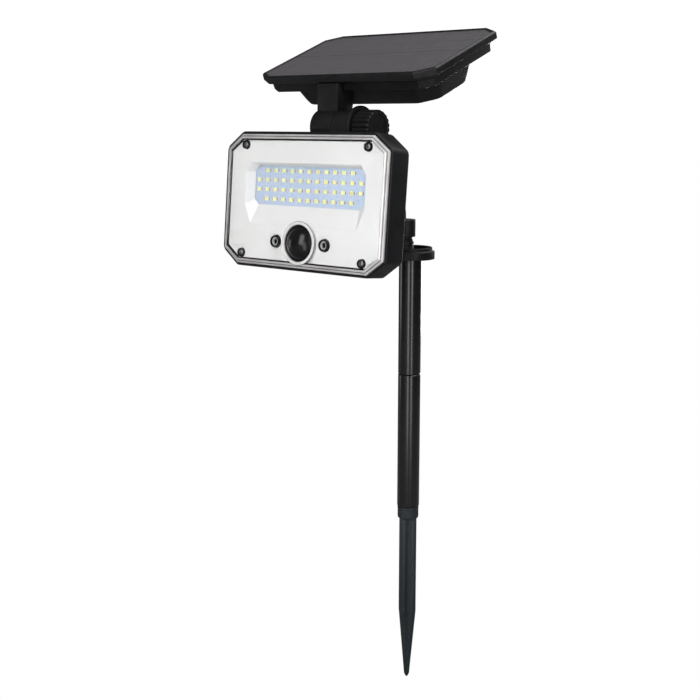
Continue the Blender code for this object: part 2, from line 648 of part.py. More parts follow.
def build_boards(lamp):
    half_w = LED_SPREAD[0] + LED_BOARD_MARGIN[0]
    half_h = LED_SPREAD[1] + LED_BOARD_MARGIN[1]
    low = (-half_w, LED_BOARD_FRONT, LED_CENTRE_Z - half_h)
    high = (half_w, LED_BOARD_FRONT + BOARD_THICKNESS, LED_CENTRE_Z + half_h)
    board = from_bmesh("led_board", box(low, high), BOARD_BLUE, lamp)
    chips = bmesh.new()
    for x, z in led_spots():
        chip_low = (x - LED_SIZE[0] / 2, LED_BOARD_FRONT - LED_SIZE[2], z - LED_SIZE[1] / 2)
        chip_high = (x + LED_SIZE[0] / 2, LED_BOARD_FRONT + SOLDER, z + LED_SIZE[1] / 2)
        chip = box(chip_low, chip_high)
        mesh = bpy.data.meshes.new("chip")
        bmesh.ops.recalc_face_normals(chip, faces=chip.faces[:])
        chip.to_mesh(mesh)
        chip.free()
        chips.from_mesh(mesh)
        bpy.data.meshes.remove(mesh)
    add(board, chips)

    front = CONTROL_BOARD_FRONT
    half_w, half_h = CONTROL_BOARD_HALF
    control = box((-half_w, front, PIR_Z - half_h), (half_w, front + BOARD_THICKNESS, PIR_Z + half_h))
    control = from_bmesh("control_board", control, BOARD_GREEN, lamp)
    under = front + BOARD_THICKNESS
    for start, end, half, rise in ((-0.012, -0.002, 0.004, 0.0018), (0.014, 0.020, 0.003, 0.0015)):
        low = (start, under - SOLDER, PIR_Z - half)
        add(control, box(low, (end, under + rise, PIR_Z + half)))
    add(control, cylinder(0.0030, under - SOLDER, under + 0.006, "Y", (0.0260, 0, PIR_Z), 16))

    can_r, can_rim, can_front = PIR_CAN
    step = front - GAP - GASKET
    can = [(0, can_front), (can_r, can_front), (can_r, step), (can_rim, step)]
    can += [(can_rim, front - GAP), (0, front - GAP)]
    from_bmesh("pir_sensor", turned(can, "Y", (0, 0, PIR_Z), 20), STEEL, lamp)


def build_sensors(lamp):
    """The motion dome, and the light sensor and indicator on either side of it."""
    sphere_r = (PIR_R * PIR_R + PIR_RISE * PIR_RISE) / (2 * PIR_RISE)
    middle = sphere_r - PIR_RISE
    spread = math.degrees(math.asin(PIR_R / sphere_r))
    steps = 3
    dome = []
    for i in range(steps + 1):
        angle = math.radians(spread * i / steps)
        dome.append((sphere_r * math.sin(angle), middle - sphere_r * math.cos(angle)))
    flange = LENS_PLATE + GAP
    back = flange + PIR_FLANGE[1]
    rim = PIR_R + PIR_FLANGE[0]
    outside = dome + [(PIR_R, flange), (rim, flange), (rim, back)]
    inner_r = sphere_r - PIR_SKIN
    inside = []
    reach = math.degrees(math.asin((PIR_R - 2 * PIR_SKIN) / inner_r))
    for i in range(steps, -1, -1):
        angle = math.radians(reach * i / steps)
        inside.append((inner_r * math.sin(angle), middle - inner_r * math.cos(angle)))
    profile = outside + [(PIR_R - 2 * PIR_SKIN, back)] + inside
    from_bmesh("pir_dome", turned(profile, "Y", (0, 0, PIR_Z), 24), DOME_BLACK, lamp)

    for side, name, label in ((-1, "light_sensor", "left"), (1, "mode_indicator", "right")):
        centre = (side * SENSOR_X, 0, PIR_Z)
        end = CONTROL_BOARD_FRONT - GAP
        body = [(0, SENSOR_FACE[0]), (SENSOR_R * 0.7, SENSOR_FACE[1]), (SENSOR_R, SENSOR_FACE[2])]
        body += [(SENSOR_R, end), (0, end)]
        from_bmesh(name, turned(body, "Y", centre, 16), SENSOR_GREY, lamp)
        bezel = tube(BEZEL_R, SENSOR_R + GAP, *BEZEL_ENDS, "Y", centre)
        from_bmesh(f"sensor_bezel_{label}", bezel, HOUSING_BLACK, lamp)


def build_button(lamp, button_axis):
    """The mode button in the housing's back, its switch, and the small board that carries it."""
    wall_inner = HOUSING_DEPTH - HOUSING_WALL
    flange_back = wall_inner - GAP
    flange_front = flange_back - BUTTON_FLANGE[1]
    flange_r = BUTTON_R + BUTTON_FLANGE[0]
    stem_end = flange_back - BUTTON_STEM
    side, shoulder, crown = (HOUSING_DEPTH + rise for rise in BUTTON_RISE)
    profile = [(0, stem_end), (BUTTON_R * 0.5, stem_end), (BUTTON_R * 0.5, flange_front)]
    profile += [(flange_r, flange_front), (flange_r, flange_back), (BUTTON_R, flange_back)]
    profile += [(BUTTON_R, side), (BUTTON_R * 0.8, shoulder), (0, crown)]
    profile = [(r, h - HOUSING_DEPTH) for r, h in profile]
    from_bmesh("mode_button", turned(profile, "Y", segments=16), RUBBER, button_axis)
    x, z = BUTTON_AT
    top = stem_end - BUTTON_TRAVEL - GAP
    half = SWITCH_SIZE[0] / 2
    switch = box((x - half, top - SWITCH_SIZE[1], z - half), (x + half, top, z + half))
    from_bmesh("tact_switch", switch, SWITCH_BLACK, lamp)
    board_back = top - SWITCH_SIZE[1] - GAP
    half_w, half_h = SWITCH_BOARD_HALF
    low = (x - half_w, board_back - BOARD_THICKNESS, z - half_h)
    board = box(low, (x + half_w, board_back, z + half_h))
    from_bmesh("switch_board", board, BOARD_GREEN, lamp)


# ---------------------------------------------------------------- hinges
def build_bolt(name, parent, start, end):
    under = start - BOLT_HEAD
    profile = [(0, under), (BOLT_HEAD_R, under), (BOLT_HEAD_R, start), (BOLT_R, start)]
    from_bmesh(name, turned(profile + [(BOLT_R, end), (0, end)], "X", segments=20), STEEL, parent)


def build_knob(name, parent, radius, rib_depth, ribs, start, length, bolt_reach):
    """A ribbed thumb knob on its own axis, with a brass insert that takes the bolt."""
    body = ribbed(radius, rib_depth, ribs, start, start + length)
    knob = from_bmesh(name, body, HOUSING_BLACK, parent)
    insert_r = BOLT_R + INSERT_WALL
    cut(knob, cylinder(insert_r + GAP, start - PAST, start + bolt_reach + 2 * GAP, "X", segments=20))
    insert = tube(insert_r, BOLT_R + FIT, start + GAP, start + bolt_reach, "X", segments=20)
    from_bmesh(f"{name}_insert", insert, BRASS, parent)


def build_tilt_hinge(tilt_axis, tilt_knob_axis):
    face = TILT_HALF + GAP + TILT_LUG
    build_bolt("tilt_bolt", tilt_axis, -face - GAP, face + TILT_BOLT_REACH)
    build_knob("tilt_knob", tilt_knob_axis, TILT_KNOB_R, TILT_RIB_DEPTH, TILT_KNOB_RIBS, face + GAP,
               TILT_KNOB_LENGTH, TILT_KNOB_INSERT)


def build_panel_hinge(panel_axis, knob_axis):
    seat = -HINGE_EAR + HINGE_HEAD_SINK
    build_bolt("hinge_bolt", panel_axis, seat, HINGE_EAR + HINGE_BOLT_REACH)
    build_knob("panel_knob", knob_axis, HINGE_R, RIB_DEPTH, KNOB_RIBS, HINGE_EAR + GAP, KNOB_LENGTH,
               KNOB_INSERT)
    washer = tube(BOLT_HEAD_R, BOLT_R + FIT, seat + GAP, seat + GAP + HINGE_WASHER, "X", segments=20)
    from_bmesh("hinge_spring_washer", washer, STEEL, panel_axis)
    outer, inner, depth = HINGE_RING
    ring = tube(outer, inner, GAP / 2, depth - GAP, "X")
    from_bmesh("hinge_friction_ring", ring, RUBBER, panel_axis)


# ---------------------------------------------------------------- solar panel
def panel_outline(inset=0.0):
    cut_w = PANEL_CUT[0] - inset * 0.3
    cut_d = PANEL_CUT[1] - inset * 0.3
    return octagon(PANEL_W / 2 - inset, PANEL_D / 2 - inset, (cut_w, cut_d))


def box_outline(inset=0.0):
    return octagon(BOX_HALF[0] - inset, BOX_HALF[1] - inset, BOX_CUT)


def corners(spot):
    return [(sx * spot[0], sy * spot[1]) for sy in (-1, 1) for sx in (-1, 1)]


def post(spot, radius, start, end, segments=12):
    return cylinder(radius, start, end, centre=(spot[0], spot[1], 0), segments=segments)


def build_panel_shells(panel):
    bottom = -PANEL_THICKNESS
    sections = [lying(panel_outline(PANEL_EDGE), bottom), lying(panel_outline(), bottom + PANEL_EDGE)]
    sections += [lying(panel_outline(), -PANEL_EDGE), lying(panel_outline(PANEL_EDGE), 0)]
    sections += [lying(panel_outline(PANEL_RIM), 0), lying(panel_outline(PANEL_RIM), -PANEL_SEAT)]
    frame = from_bmesh("panel_frame", lofted(sections), HOUSING_BLACK, panel)
    laminate = [lying(panel_outline(PANEL_RIM + GAP), z) for z in (-PANEL_SEAT + GAP, -GAP)]
    from_bmesh("solar_laminate", lofted(laminate), CELL_BLACK, panel)

    boss_end = TRAY_BOTTOM + TRAY_FLOOR + GAP
    for spot in corners(PANEL_SCREW_AT):
        add(frame, post(spot, PANEL_BOSS_R, boss_end, bottom + PAST))
        cut(frame, post(spot, SELF_TAP_R + FIT, boss_end - PAST, bottom + PAST / 2))
    cut(frame, post((PANEL_WIRE_HOLE[0], 0), PANEL_WIRE_HOLE[1], bottom - PAST, PAST))

    top = bottom - GAP
    slope = TRAY_SLOPE
    tray = [lying(panel_outline(TRAY_INSET), top), lying(panel_outline(TRAY_INSET + slope), TRAY_BOTTOM)]
    opening = octagon(*CELL_OPENING, (CELL_OPENING_CUT, CELL_OPENING_CUT))
    floor = TRAY_BOTTOM + TRAY_FLOOR
    inner = panel_outline(TRAY_INSET + TRAY_WALL + slope)
    tray += [lying(opening, TRAY_BOTTOM), lying(opening, floor), lying(inner, floor)]
    tray.append(lying(panel_outline(TRAY_INSET + TRAY_WALL), top))
    tray = from_bmesh("panel_tray", lofted(tray, closed=True), HOUSING_BLACK, panel)
    for spot in corners(PANEL_SCREW_AT):
        cut(tray, post(spot, SELF_TAP_R + 2 * FIT, TRAY_BOTTOM - PAST, floor + PAST))
    for spot in corners(COVER_SCREW_AT):
        add(tray, post(spot, TRAY_POST_R, floor - PAST / 2, TRAY_POST_TOP))
        cut(tray, post(spot, SELF_TAP_R + FIT, TRAY_BOTTOM - PAST, TRAY_POST_TOP - PAST))
    for x in ARM_SCREW_X:
        cut(tray, post((x, ARM_SCREW_Y), SELF_TAP_R + 2 * FIT, TRAY_BOTTOM - PAST, floor + PAST))

    box_top = TRAY_BOTTOM - GAP
    sections = [lying(box_outline(BOX_TAPER), BOX_BOTTOM), lying(box_outline(), box_top)]
    sections.append(lying(box_outline(BOX_WALL), box_top))
    sections.append(lying(box_outline(BOX_TAPER + BOX_WALL), BOX_BOTTOM + BOX_WALL))
    cover = from_bmesh("battery_cover", lofted(sections), HOUSING_BLACK, panel)
    for spot in corners(COVER_SCREW_AT):
        add(cover, post(spot, COVER_POST_R, BOX_BOTTOM + PAST / 2, box_top))
        cut(cover, post(spot, COVER_HEAD_R + GAP, BOX_BOTTOM - PAST, BOX_BOTTOM + COVER_SINK, 16))
        cut(cover, post(spot, SELF_TAP_R + 2 * FIT, BOX_BOTTOM, box_top + PAST))


def build_panel_fixings(panel):
    for i, spot in enumerate(corners(PANEL_SCREW_AT), 1):
        seat = (spot[0], spot[1], TRAY_BOTTOM - GAP)
        screw(f"panel_screw_{i}", STEEL, panel, "Z", seat, COVER_HEAD_R, SELF_TAP_HEAD, SELF_TAP_R, 0.0070)
    for i, spot in enumerate(corners(COVER_SCREW_AT), 1):
        seat = (spot[0], spot[1], BOX_BOTTOM + COVER_SINK - GAP)
        screw(f"cover_screw_{i}", STEEL, panel, "Z", seat, COVER_HEAD_R, SELF_TAP_HEAD, SELF_TAP_R, 0.0085)
    for i, x in enumerate(ARM_SCREW_X, 1):
        seat = (x, ARM_SCREW_Y, TRAY_BOTTOM + TRAY_FLOOR + GAP)
        screw(f"arm_screw_{i}", STEEL, panel, "Z", seat, COVER_HEAD_R, SELF_TAP_HEAD, SELF_TAP_R, 0.0070,
              outward=1)


def build_panel_arm(panel):
    """The bracket from the tray's front edge down to the hinge."""
    centre = (-PANEL_FROM_HINGE[0], -PANEL_FROM_HINGE[1])
    tray_front = -(PANEL_D / 2 - TRAY_INSET) - GAP
    top = -PANEL_THICKNESS - GAP
    under = TRAY_BOTTOM - GAP
    back = -BOX_HALF[1] - 3 * GAP
    outline = [(tray_front - 0.0042, top), (tray_front, top), (tray_front, under), (back, under)]
    outline += [(back, ARM_WEB_Z)] + arc(centre, HINGE_R, 8, -271, 22)
    arm = from_bmesh("panel_arm", across(outline, -HINGE_EAR, -GAP / 2), HOUSING_BLACK, panel)
    hinge = (0, *centre)
    sink = -HINGE_EAR + HINGE_HEAD_SINK + 2 * GAP + HINGE_WASHER
    cut(arm, cylinder(BOLT_R + FIT, -2 * HINGE_EAR, HINGE_EAR, "X", hinge, 20))
    cut(arm, cylinder(BOLT_HEAD_R + GAP, -2 * HINGE_EAR, sink, "X", hinge))
    for x in ARM_SCREW_X:
        cut(arm, post((x, ARM_SCREW_Y), SELF_TAP_R + FIT, under - 0.0053, under + PAST))


def build_power_parts(panel):
    z = BOX_BOTTOM + BOX_WALL + GAP + CELL_R
    for i, side in enumerate((-1, 1), 1):
        axis = (0, side * CELL_PITCH / 2, z)
        tip_r, tip = CELL_TIP
        half = CELL_LENGTH / 2
        ends = [(0, -half), (CELL_R - CELL_EDGE, -half), (CELL_R, -half + CELL_EDGE)]
        ends += [(CELL_R, half - CELL_EDGE), (CELL_R - CELL_EDGE, half)]
        ends += [(tip_r, half), (tip_r, half + tip), (0, half + tip)]
        from_bmesh(f"battery_cell_{i}", turned(ends, "X", axis, 20), CELL_BLUE, panel)
    reach = CELL_PITCH / 2 + CONTACT_HALF[0]
    for side, start, label in ((-1, half + GAP, "left"), (1, half + tip + GAP, "right")):
        ends = sorted((side * start, side * (start + CONTACT)))
        strip = box((ends[0], -reach, z - CONTACT_HALF[1]), (ends[1], reach, z + CONTACT_HALF[1]))
        from_bmesh(f"contact_strip_{label}", strip, STEEL, panel)
    edge = -(half + 2 * CONTACT + 0.0035)
    board_z = BOX_BOTTOM + BOX_WALL + 0.0030
    half_x, half_y = CHARGE_BOARD_HALF[0] / 2, CHARGE_BOARD_HALF[1]
    board = box((edge - 2 * half_x, -half_y, board_z), (edge, half_y, board_z + BOARD_THICKNESS))
    board = from_bmesh("charge_board", board, BOARD_GREEN, panel)
    chip_base = board_z + BOARD_THICKNESS - SOLDER
    add(board, box((edge - 0.0080, -0.0030, chip_base), (edge - 0.0030, 0.0020, chip_base + 0.0020)))


# ---------------------------------------------------------------- assembly
clear_scene()

HOUSING_BLACK = material("black_abs", (0.014, 0.014, 0.016), 0.42)
TUBE_BLACK = material("gloss_black_tube", (0.010, 0.010, 0.010), 0.22)
SPIKE_BLACK = material("spike_plastic", (0.016, 0.017, 0.019), 0.55)
RUBBER = material("black_rubber", (0.020, 0.020, 0.020), 0.80)
CLEAR = material("clear_polycarbonate", (0.80, 0.81, 0.83), 0.10)
WHITE = material("white_reflector", (0.84, 0.84, 0.83), 0.30)
BOARD_BLUE = material("led_board", (0.56, 0.66, 0.83), 0.45)
BOARD_GREEN = material("circuit_board", (0.02, 0.12, 0.05), 0.50)
DOME_BLACK = material("pir_dome", (0.008, 0.008, 0.009), 0.12)
SENSOR_GREY = material("sensor_resin", (0.35, 0.36, 0.37), 0.25)
SWITCH_BLACK = material("switch_body", (0.02, 0.02, 0.02), 0.50)
STEEL = material("zinc_steel", (0.50, 0.50, 0.52), 0.30, 1.0)
BRASS = material("brass_insert", (0.70, 0.52, 0.22), 0.30, 1.0)
CELL_BLACK = material("solar_cells", (0.045, 0.040, 0.052), 0.20)
CELL_BLUE = material("cell_sleeve", (0.03, 0.12, 0.35), 0.40)

# The tilt hinge's place follows from the lens centre and the lamp's own tilt.
lamp_turn = Matrix.Rotation(-LAMP_TILT, 3, "X")
pivot_offset = lamp_turn @ Vector((0, *LAMP_PIVOT))
PIVOT_Y = LENS_CENTRE[0] + pivot_offset.y
PIVOT_Z = LENS_CENTRE[1] + pivot_offset.z

swivel_axis = empty("swivel_axis", (0, -NECK_FORWARD, SWIVEL_BOTTOM))
tilt_axis = empty("lamp_tilt_axis", (0, PIVOT_Y + NECK_FORWARD, PIVOT_Z - SWIVEL_BOTTOM), swivel_axis)
tilt_knob_axis = empty("tilt_knob_axis", (0, 0, 0), tilt_axis)
lamp = empty("lens_centre", -pivot_offset, tilt_axis, -LAMP_TILT)
button_axis = empty("mode_button_axis", (BUTTON_AT[0], HOUSING_DEPTH, BUTTON_AT[1]), lamp)
panel_axis = empty("panel_tilt_axis", (0, *HINGE_AT), lamp, LAMP_TILT + PANEL_TILT)
knob_axis = empty("panel_knob_axis", (0, 0, 0), panel_axis)
panel = empty("panel_centre", (0, *PANEL_FROM_HINGE), panel_axis)

build_stake()
build_flange()
build_swivel(swivel_axis)
build_housing(lamp)
build_lens(lamp)
build_reflector(lamp)
build_boards(lamp)
build_sensors(lamp)
build_button(lamp, button_axis)
build_tilt_hinge(tilt_axis, tilt_knob_axis)
build_panel_hinge(panel_axis, knob_axis)
build_panel_shells(panel)
build_panel_arm(panel)
build_panel_fixings(panel)
build_power_parts(panel)
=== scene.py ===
"""Solar flood light on a ground stake: the looks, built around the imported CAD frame.

Metres, in the CAD's frame: +Z up, the origin on the tube's axis at soil level, the lamp facing -Y.
"""

import json
import math

import bmesh
import bpy
from mathutils import Matrix, Vector


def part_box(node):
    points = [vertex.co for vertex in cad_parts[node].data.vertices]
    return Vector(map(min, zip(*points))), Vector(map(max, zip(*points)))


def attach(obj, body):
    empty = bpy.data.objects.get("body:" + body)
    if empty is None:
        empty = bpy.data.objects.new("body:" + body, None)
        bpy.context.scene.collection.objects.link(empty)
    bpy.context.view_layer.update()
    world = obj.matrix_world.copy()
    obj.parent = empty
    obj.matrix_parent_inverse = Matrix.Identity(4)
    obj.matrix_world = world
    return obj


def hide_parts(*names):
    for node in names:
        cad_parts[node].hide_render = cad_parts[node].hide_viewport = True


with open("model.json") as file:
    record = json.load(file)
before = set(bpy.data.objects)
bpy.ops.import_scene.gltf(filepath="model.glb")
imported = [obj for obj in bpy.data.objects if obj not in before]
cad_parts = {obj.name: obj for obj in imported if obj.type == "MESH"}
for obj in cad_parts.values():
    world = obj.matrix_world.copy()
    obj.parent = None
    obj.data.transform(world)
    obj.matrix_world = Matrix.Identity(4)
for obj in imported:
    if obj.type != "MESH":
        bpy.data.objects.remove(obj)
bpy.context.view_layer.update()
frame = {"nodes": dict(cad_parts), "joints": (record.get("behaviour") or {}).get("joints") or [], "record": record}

# ---------------------------------------------------------------- places taken from the frame
GAP = 0.0003  # what the CAD leaves between pieces that touch
JOINTS = {joint["name"]: joint for joint in frame["joints"]}
LAMP_TILT = math.radians(-5.3)
PANEL_TILT = math.radians(21.2)
TILT_PIVOT = Vector(JOINTS["lamp_tilt"]["pos_m"])
HINGE = Vector(JOINTS["panel_tilt"]["pos_m"])
SWIVEL = Vector(JOINTS["swivel_pan"]["pos_m"])
PIVOT_IN_LAMP = Vector((0, 0.0440, 0.0109))
HINGE_IN_PANEL = Vector((0, -0.0549, -0.0363))
lamp_turn = Matrix.Rotation(LAMP_TILT, 4, "X")
panel_turn = Matrix.Rotation(PANEL_TILT, 4, "X")
LAMP = Matrix.Translation(TILT_PIVOT - lamp_turn.to_3x3() @ PIVOT_IN_LAMP) @ lamp_turn
PANEL = Matrix.Translation(HINGE - panel_turn.to_3x3() @ HINGE_IN_PANEL) @ panel_turn
HINGE_IN_LAMP = LAMP.inverted() @ HINGE
FLANGE_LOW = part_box("base_flange")[0].z
FLANGE_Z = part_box("upper_tube")[1].z + GAP
TUBE_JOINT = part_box("lower_tube")[1].z + GAP
TUBE_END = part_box("lower_tube")[0].z
TUBE_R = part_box("lower_tube")[1].x
SPIKE_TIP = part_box("ground_spike")[0].z

ALONG_X = Matrix.Rotation(math.pi / 2, 4, "Y")
ALONG_Y = Matrix.Rotation(-math.pi / 2, 4, "X")

# ---------------------------------------------------------------- sizes that several pieces share
TUBE_WALL = 0.0014
HINGE_R = 0.0125
BOLT_HOLE_R = 0.00265
BUTTON = (0.0350, -0.0220)
PANEL_HALF_W, PANEL_HALF_D = 0.0810, 0.0473
PANEL_SCREW = (0.0660, 0.0330)
COVER_SCREW = (0.0540, 0.0180)
TRAY_INSET = 0.0045
SIDES = (-1, 1)


# ---------------------------------------------------------------- shape helpers
def rounded(points, radii, steps, closed=False):
    """The line with an arc of the given radius at each inner point, in 2D or 3D."""
    points = [Vector(p).to_3d() for p in points]
    if not hasattr(radii, "__len__"):
        radii = [radii] * len(points)
    made = []
    count = len(points)
    for i, (point, radius) in enumerate(zip(points, radii)):
        if not closed and i in (0, count - 1):
            made.append(point)
            continue
        before, after = points[i - 1], points[(i + 1) % count]
        into, out = point - before, after - point
        turn = into.angle(out, 0)
        if radius <= 0 or turn < 1e-4:
            made += [point.copy() for _ in range(steps + 1)] if radius > 0 else [point]
            continue
        reach = min(radius * math.tan(turn / 2), 0.48 * into.length, 0.48 * out.length)
        r = reach / math.tan(turn / 2)
        into.normalize()
        out.normalize()
        side = (out - into * out.dot(into)).normalized()
        start = point - into * reach
        centre = start + side * r
        for k in range(steps + 1):
            a = turn * k / steps
            made.append(centre - side * r * math.cos(a) + into * r * math.sin(a))
    return made


def octagon(half_w, half_h, cut_w, cut_h, inset=0.0):
    """The corners of a rectangle with cut corners, moved inward by the inset, counter-clockwise."""
    length = math.hypot(cut_w, cut_h)
    w, h = half_w - inset, half_h - inset
    a, b = cut_w - inset * (cut_w + cut_h - length) / cut_h, cut_h - inset * (cut_w + cut_h - length) / cut_w
    corner = [(w, h - b), (w - a, h)]
    points = corner + [(-x, y) for x, y in reversed(corner)]
    return points + [(-x, -y) for x, y in corner] + [(x, -y) for x, y in reversed(corner)]


def plan(points, corner, steps=5):
    """A closed outline with rounded corners, as (a, b) pairs."""
    return [(p.x, p.y) for p in rounded([(a, b, 0) for a, b in points], corner, steps, closed=True)]


def standing(outline, depth):
    return [Vector((a, depth, b)) for a, b in outline]


def lying(outline, height):
    return [Vector((a, b, height)) for a, b in outline]


def side_on(outline, x):
    return [Vector((x, a, b)) for a, b in outline]


def loft(sections, radii=None, steps=4, closed=False, caps=True):
    """A skin over outlines of equally many points, rounded from one to the next where a radius is given."""
    if radii is not None:
        chains = [rounded(chain, radii, steps, closed) for chain in zip(*sections)]
        sections = list(zip(*chains))
    shape = bmesh.new()
    rings = [[shape.verts.new(p) for p in section] for section in sections]
    pairs = list(zip(rings, rings[1:]))
    if closed:
        pairs.append((rings[-1], rings[0]))
    elif caps:
        shape.faces.new(rings[0])
        shape.faces.new(rings[-1])
    for low, high in pairs:
        for i in range(len(low)):
            j = (i + 1) % len(low)
            shape.faces.new((low[i], low[j], high[j], high[i]))
    bmesh.ops.remove_doubles(shape, verts=shape.verts[:], dist=1e-7)
    return shape


def revolved(profile, radii=0.0, segments=72, steps=4):
    """A turned piece about Z from (radius, height) points. Ends off the axis close into a ring."""
    ring = profile[0][0] > 0 and profile[-1][0] > 0
    line = rounded([(r, h, 0) for r, h in profile], radii, steps, closed=ring)
    shape = bmesh.new()
    angles = [2 * math.pi * i / segments for i in range(segments)]
    rings = []
    for p in line:
        if p.x < 1e-7:
            rings.append([shape.verts.new((0, 0, p.y))] * segments)
        else:
            rings.append([shape.verts.new((p.x * math.cos(a), p.x * math.sin(a), p.y)) for a in angles])
    pairs = list(zip(rings, rings[1:])) + ([(rings[-1], rings[0])] if ring else [])
    for low, high in pairs:
        for i in range(segments):
            j = (i + 1) % segments
            corners = list(dict.fromkeys((low[i], low[j], high[j], high[i])))
            if len(corners) > 2:
                shape.faces.new(corners)
    return shape


def rod(radius, low, high, segments):
    """A plain cylinder about Z."""
    return revolved([(0, low), (radius, low), (radius, high), (0, high)], 0, segments)


def block(low, high):
    (x0, y0, z0), (x1, y1, z1) = low, high
    outline = [(x0, y0), (x1, y0), (x1, y1), (x0, y1)]
    return loft([lying(outline, z0), lying(outline, z1)])


def arc(centre, radius, start, end, steps):
    angles = [math.radians(start + (end - start) * i / steps) for i in range(steps + 1)]
    return [(centre[0] + radius * math.cos(a), centre[1] + radius * math.sin(a)) for a in angles]


def merged(shapes):
    """Several shapes as one, without joining their surfaces."""
    whole = bmesh.new()
    for shape in shapes:
        bmesh.ops.recalc_face_normals(shape, faces=shape.faces[:])
        mesh = bpy.data.meshes.new("part")
        shape.to_mesh(mesh)
        shape.free()
        whole.from_mesh(mesh)
        bpy.data.meshes.remove(mesh)
    return whole


def moved(shape, matrix):
    bmesh.ops.transform(shape, matrix=matrix, verts=shape.verts[:])
    return shape


def linked(name, shape):
    """An object in the scene, made from a bmesh."""
    bmesh.ops.recalc_face_normals(shape, faces=shape.faces[:])
    mesh = bpy.data.meshes.new(name)
    shape.to_mesh(mesh)
    shape.free()
    obj = bpy.data.objects.new(name, mesh)
    bpy.context.scene.collection.objects.link(obj)
    return obj


def piece(name, shape, finish, body, place=None, replaces=(), cuts=(), bevel=None, smooth=32):
    """A visible piece made from a bmesh, with cutters taken from it, which rides on a CAD body."""
    obj = linked(name, shape)
    mesh = obj.data
    helpers = []
    for cutter in cuts:
        helpers.append(linked(f"{name}_cutter", cutter))
        modifier = obj.modifiers.new("cut", "BOOLEAN")
        modifier.operation = "DIFFERENCE"
        modifier.object = helpers[-1]
    if bevel:
        edge = obj.modifiers.new("edges", "BEVEL")
        edge.width, edge.segments = bevel
        edge.limit_method = "ANGLE"
        edge.angle_limit = math.radians(38)
    if obj.modifiers:
        bpy.context.view_layer.update()
        solid = obj.evaluated_get(bpy.context.evaluated_depsgraph_get())
        obj.data = bpy.data.meshes.new_from_object(solid)
        obj.modifiers.clear()
        bpy.data.meshes.remove(mesh)
        for helper in helpers:
            bpy.data.objects.remove(helper, do_unlink=True)
    obj.data.name = name
    if place is not None:
        obj.data.transform(place)
    obj.data.shade_smooth()
    obj.data.set_sharp_from_angle(angle=math.radians(smooth))
    obj.data.materials.clear()
    obj.data.materials.append(MATERIALS[finish])
    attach(obj, body)
    if replaces:
        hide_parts(*replaces)
    return obj


# ---------------------------------------------------------------- materials
MATERIALS = {}


class Look:
    """A Principled material and the nodes that vary it, kept in MATERIALS under its name."""

    def __init__(self, name, colour, roughness, metallic=0.0, **sockets):
        self.material = bpy.data.materials.new(name)
        self.material.use_nodes = True
        MATERIALS[name] = self.material
        self.nodes = self.material.node_tree.nodes
        self.links = self.material.node_tree.links
        self.shader = self.nodes["Principled BSDF"]
        self.material.diffuse_color = (*colour, 1)
        self.set("Base Color", (*colour, 1))
        self.set("Roughness", roughness)
        self.set("Metallic", metallic)
        for socket, value in sockets.items():
            self.set(socket.replace("_", " ").title().replace("Ior", "IOR"), value)
        self.place = self.nodes.new("ShaderNodeTexCoord").outputs["Object"]
        self.height = None

    def set(self, socket, value):
        self.shader.inputs[socket].default_value = value

    def node(self, kind, **values):
        made = self.nodes.new(kind)
        for key, value in values.items():
            if hasattr(made, key):
                setattr(made, key, value)
            else:
                made.inputs[key.replace("_", " ").title()].default_value = value
        return made

    def noise(self, scale, detail=3.0, stretch=(1, 1, 1)):
        """A noise whose value runs from 0 to 1."""
        mapping = self.node("ShaderNodeMapping")
        mapping.inputs["Scale"].default_value = stretch
        self.links.new(self.place, mapping.inputs["Vector"])
        noise = self.node("ShaderNodeTexNoise", scale=scale, detail=detail)
        self.links.new(mapping.outputs["Vector"], noise.inputs["Vector"])
        return noise.outputs["Fac"]

    def ramp(self, value, low, high, start=0.35, end=0.65):
        """Colours or greys picked by a value."""
        ramp = self.nodes.new("ShaderNodeValToRGB")
        for element, position, colour in zip(ramp.color_ramp.elements, (start, end), (low, high)):
            element.position = position
            element.color = (*colour, 1) if hasattr(colour, "__len__") else (colour, colour, colour, 1)
        self.links.new(value, ramp.inputs["Fac"])
        return ramp.outputs["Color"]

    def vary_colour(self, value, low, high, **ends):
        self.links.new(self.ramp(value, low, high, **ends), self.shader.inputs["Base Color"])
        return self

    def vary_roughness(self, value, low, high, **ends):
        self.links.new(self.ramp(value, low, high, **ends), self.shader.inputs["Roughness"])
        return self

    def bump(self, value, depth, strength=1.0):
        """Adds relief of this depth, in metres, over what is there already."""
        bump = self.node("ShaderNodeBump", strength=strength, distance=depth)
        self.links.new(value, bump.inputs["Height"])
        if self.height:
            self.links.new(self.height, bump.inputs["Normal"])
        self.height = bump.outputs["Normal"]
        self.links.new(self.height, self.shader.inputs["Normal"])
        return self

    def paint_edge_highlights(self, colour):
        """Painted highlight: lighter colour on the most convex edges, standing in for light caught by those edges.
        """
        point = self.nodes.new("ShaderNodeNewGeometry").outputs["Pointiness"]
        factor = self.ramp(point, 0.0, 1.0, start=0.54, end=0.62)
        mix = self.nodes.new("ShaderNodeMix")
        mix.data_type = "RGBA"
        socket = self.shader.inputs["Base Color"]
        if socket.is_linked:
            self.links.new(socket.links[0].from_socket, mix.inputs["A"])
        else:
            mix.inputs["A"].default_value = socket.default_value
        mix.inputs["B"].default_value = (*colour, 1)
        self.links.new(factor, mix.inputs["Factor"])
        self.links.new(mix.outputs["Result"], socket)
        return self


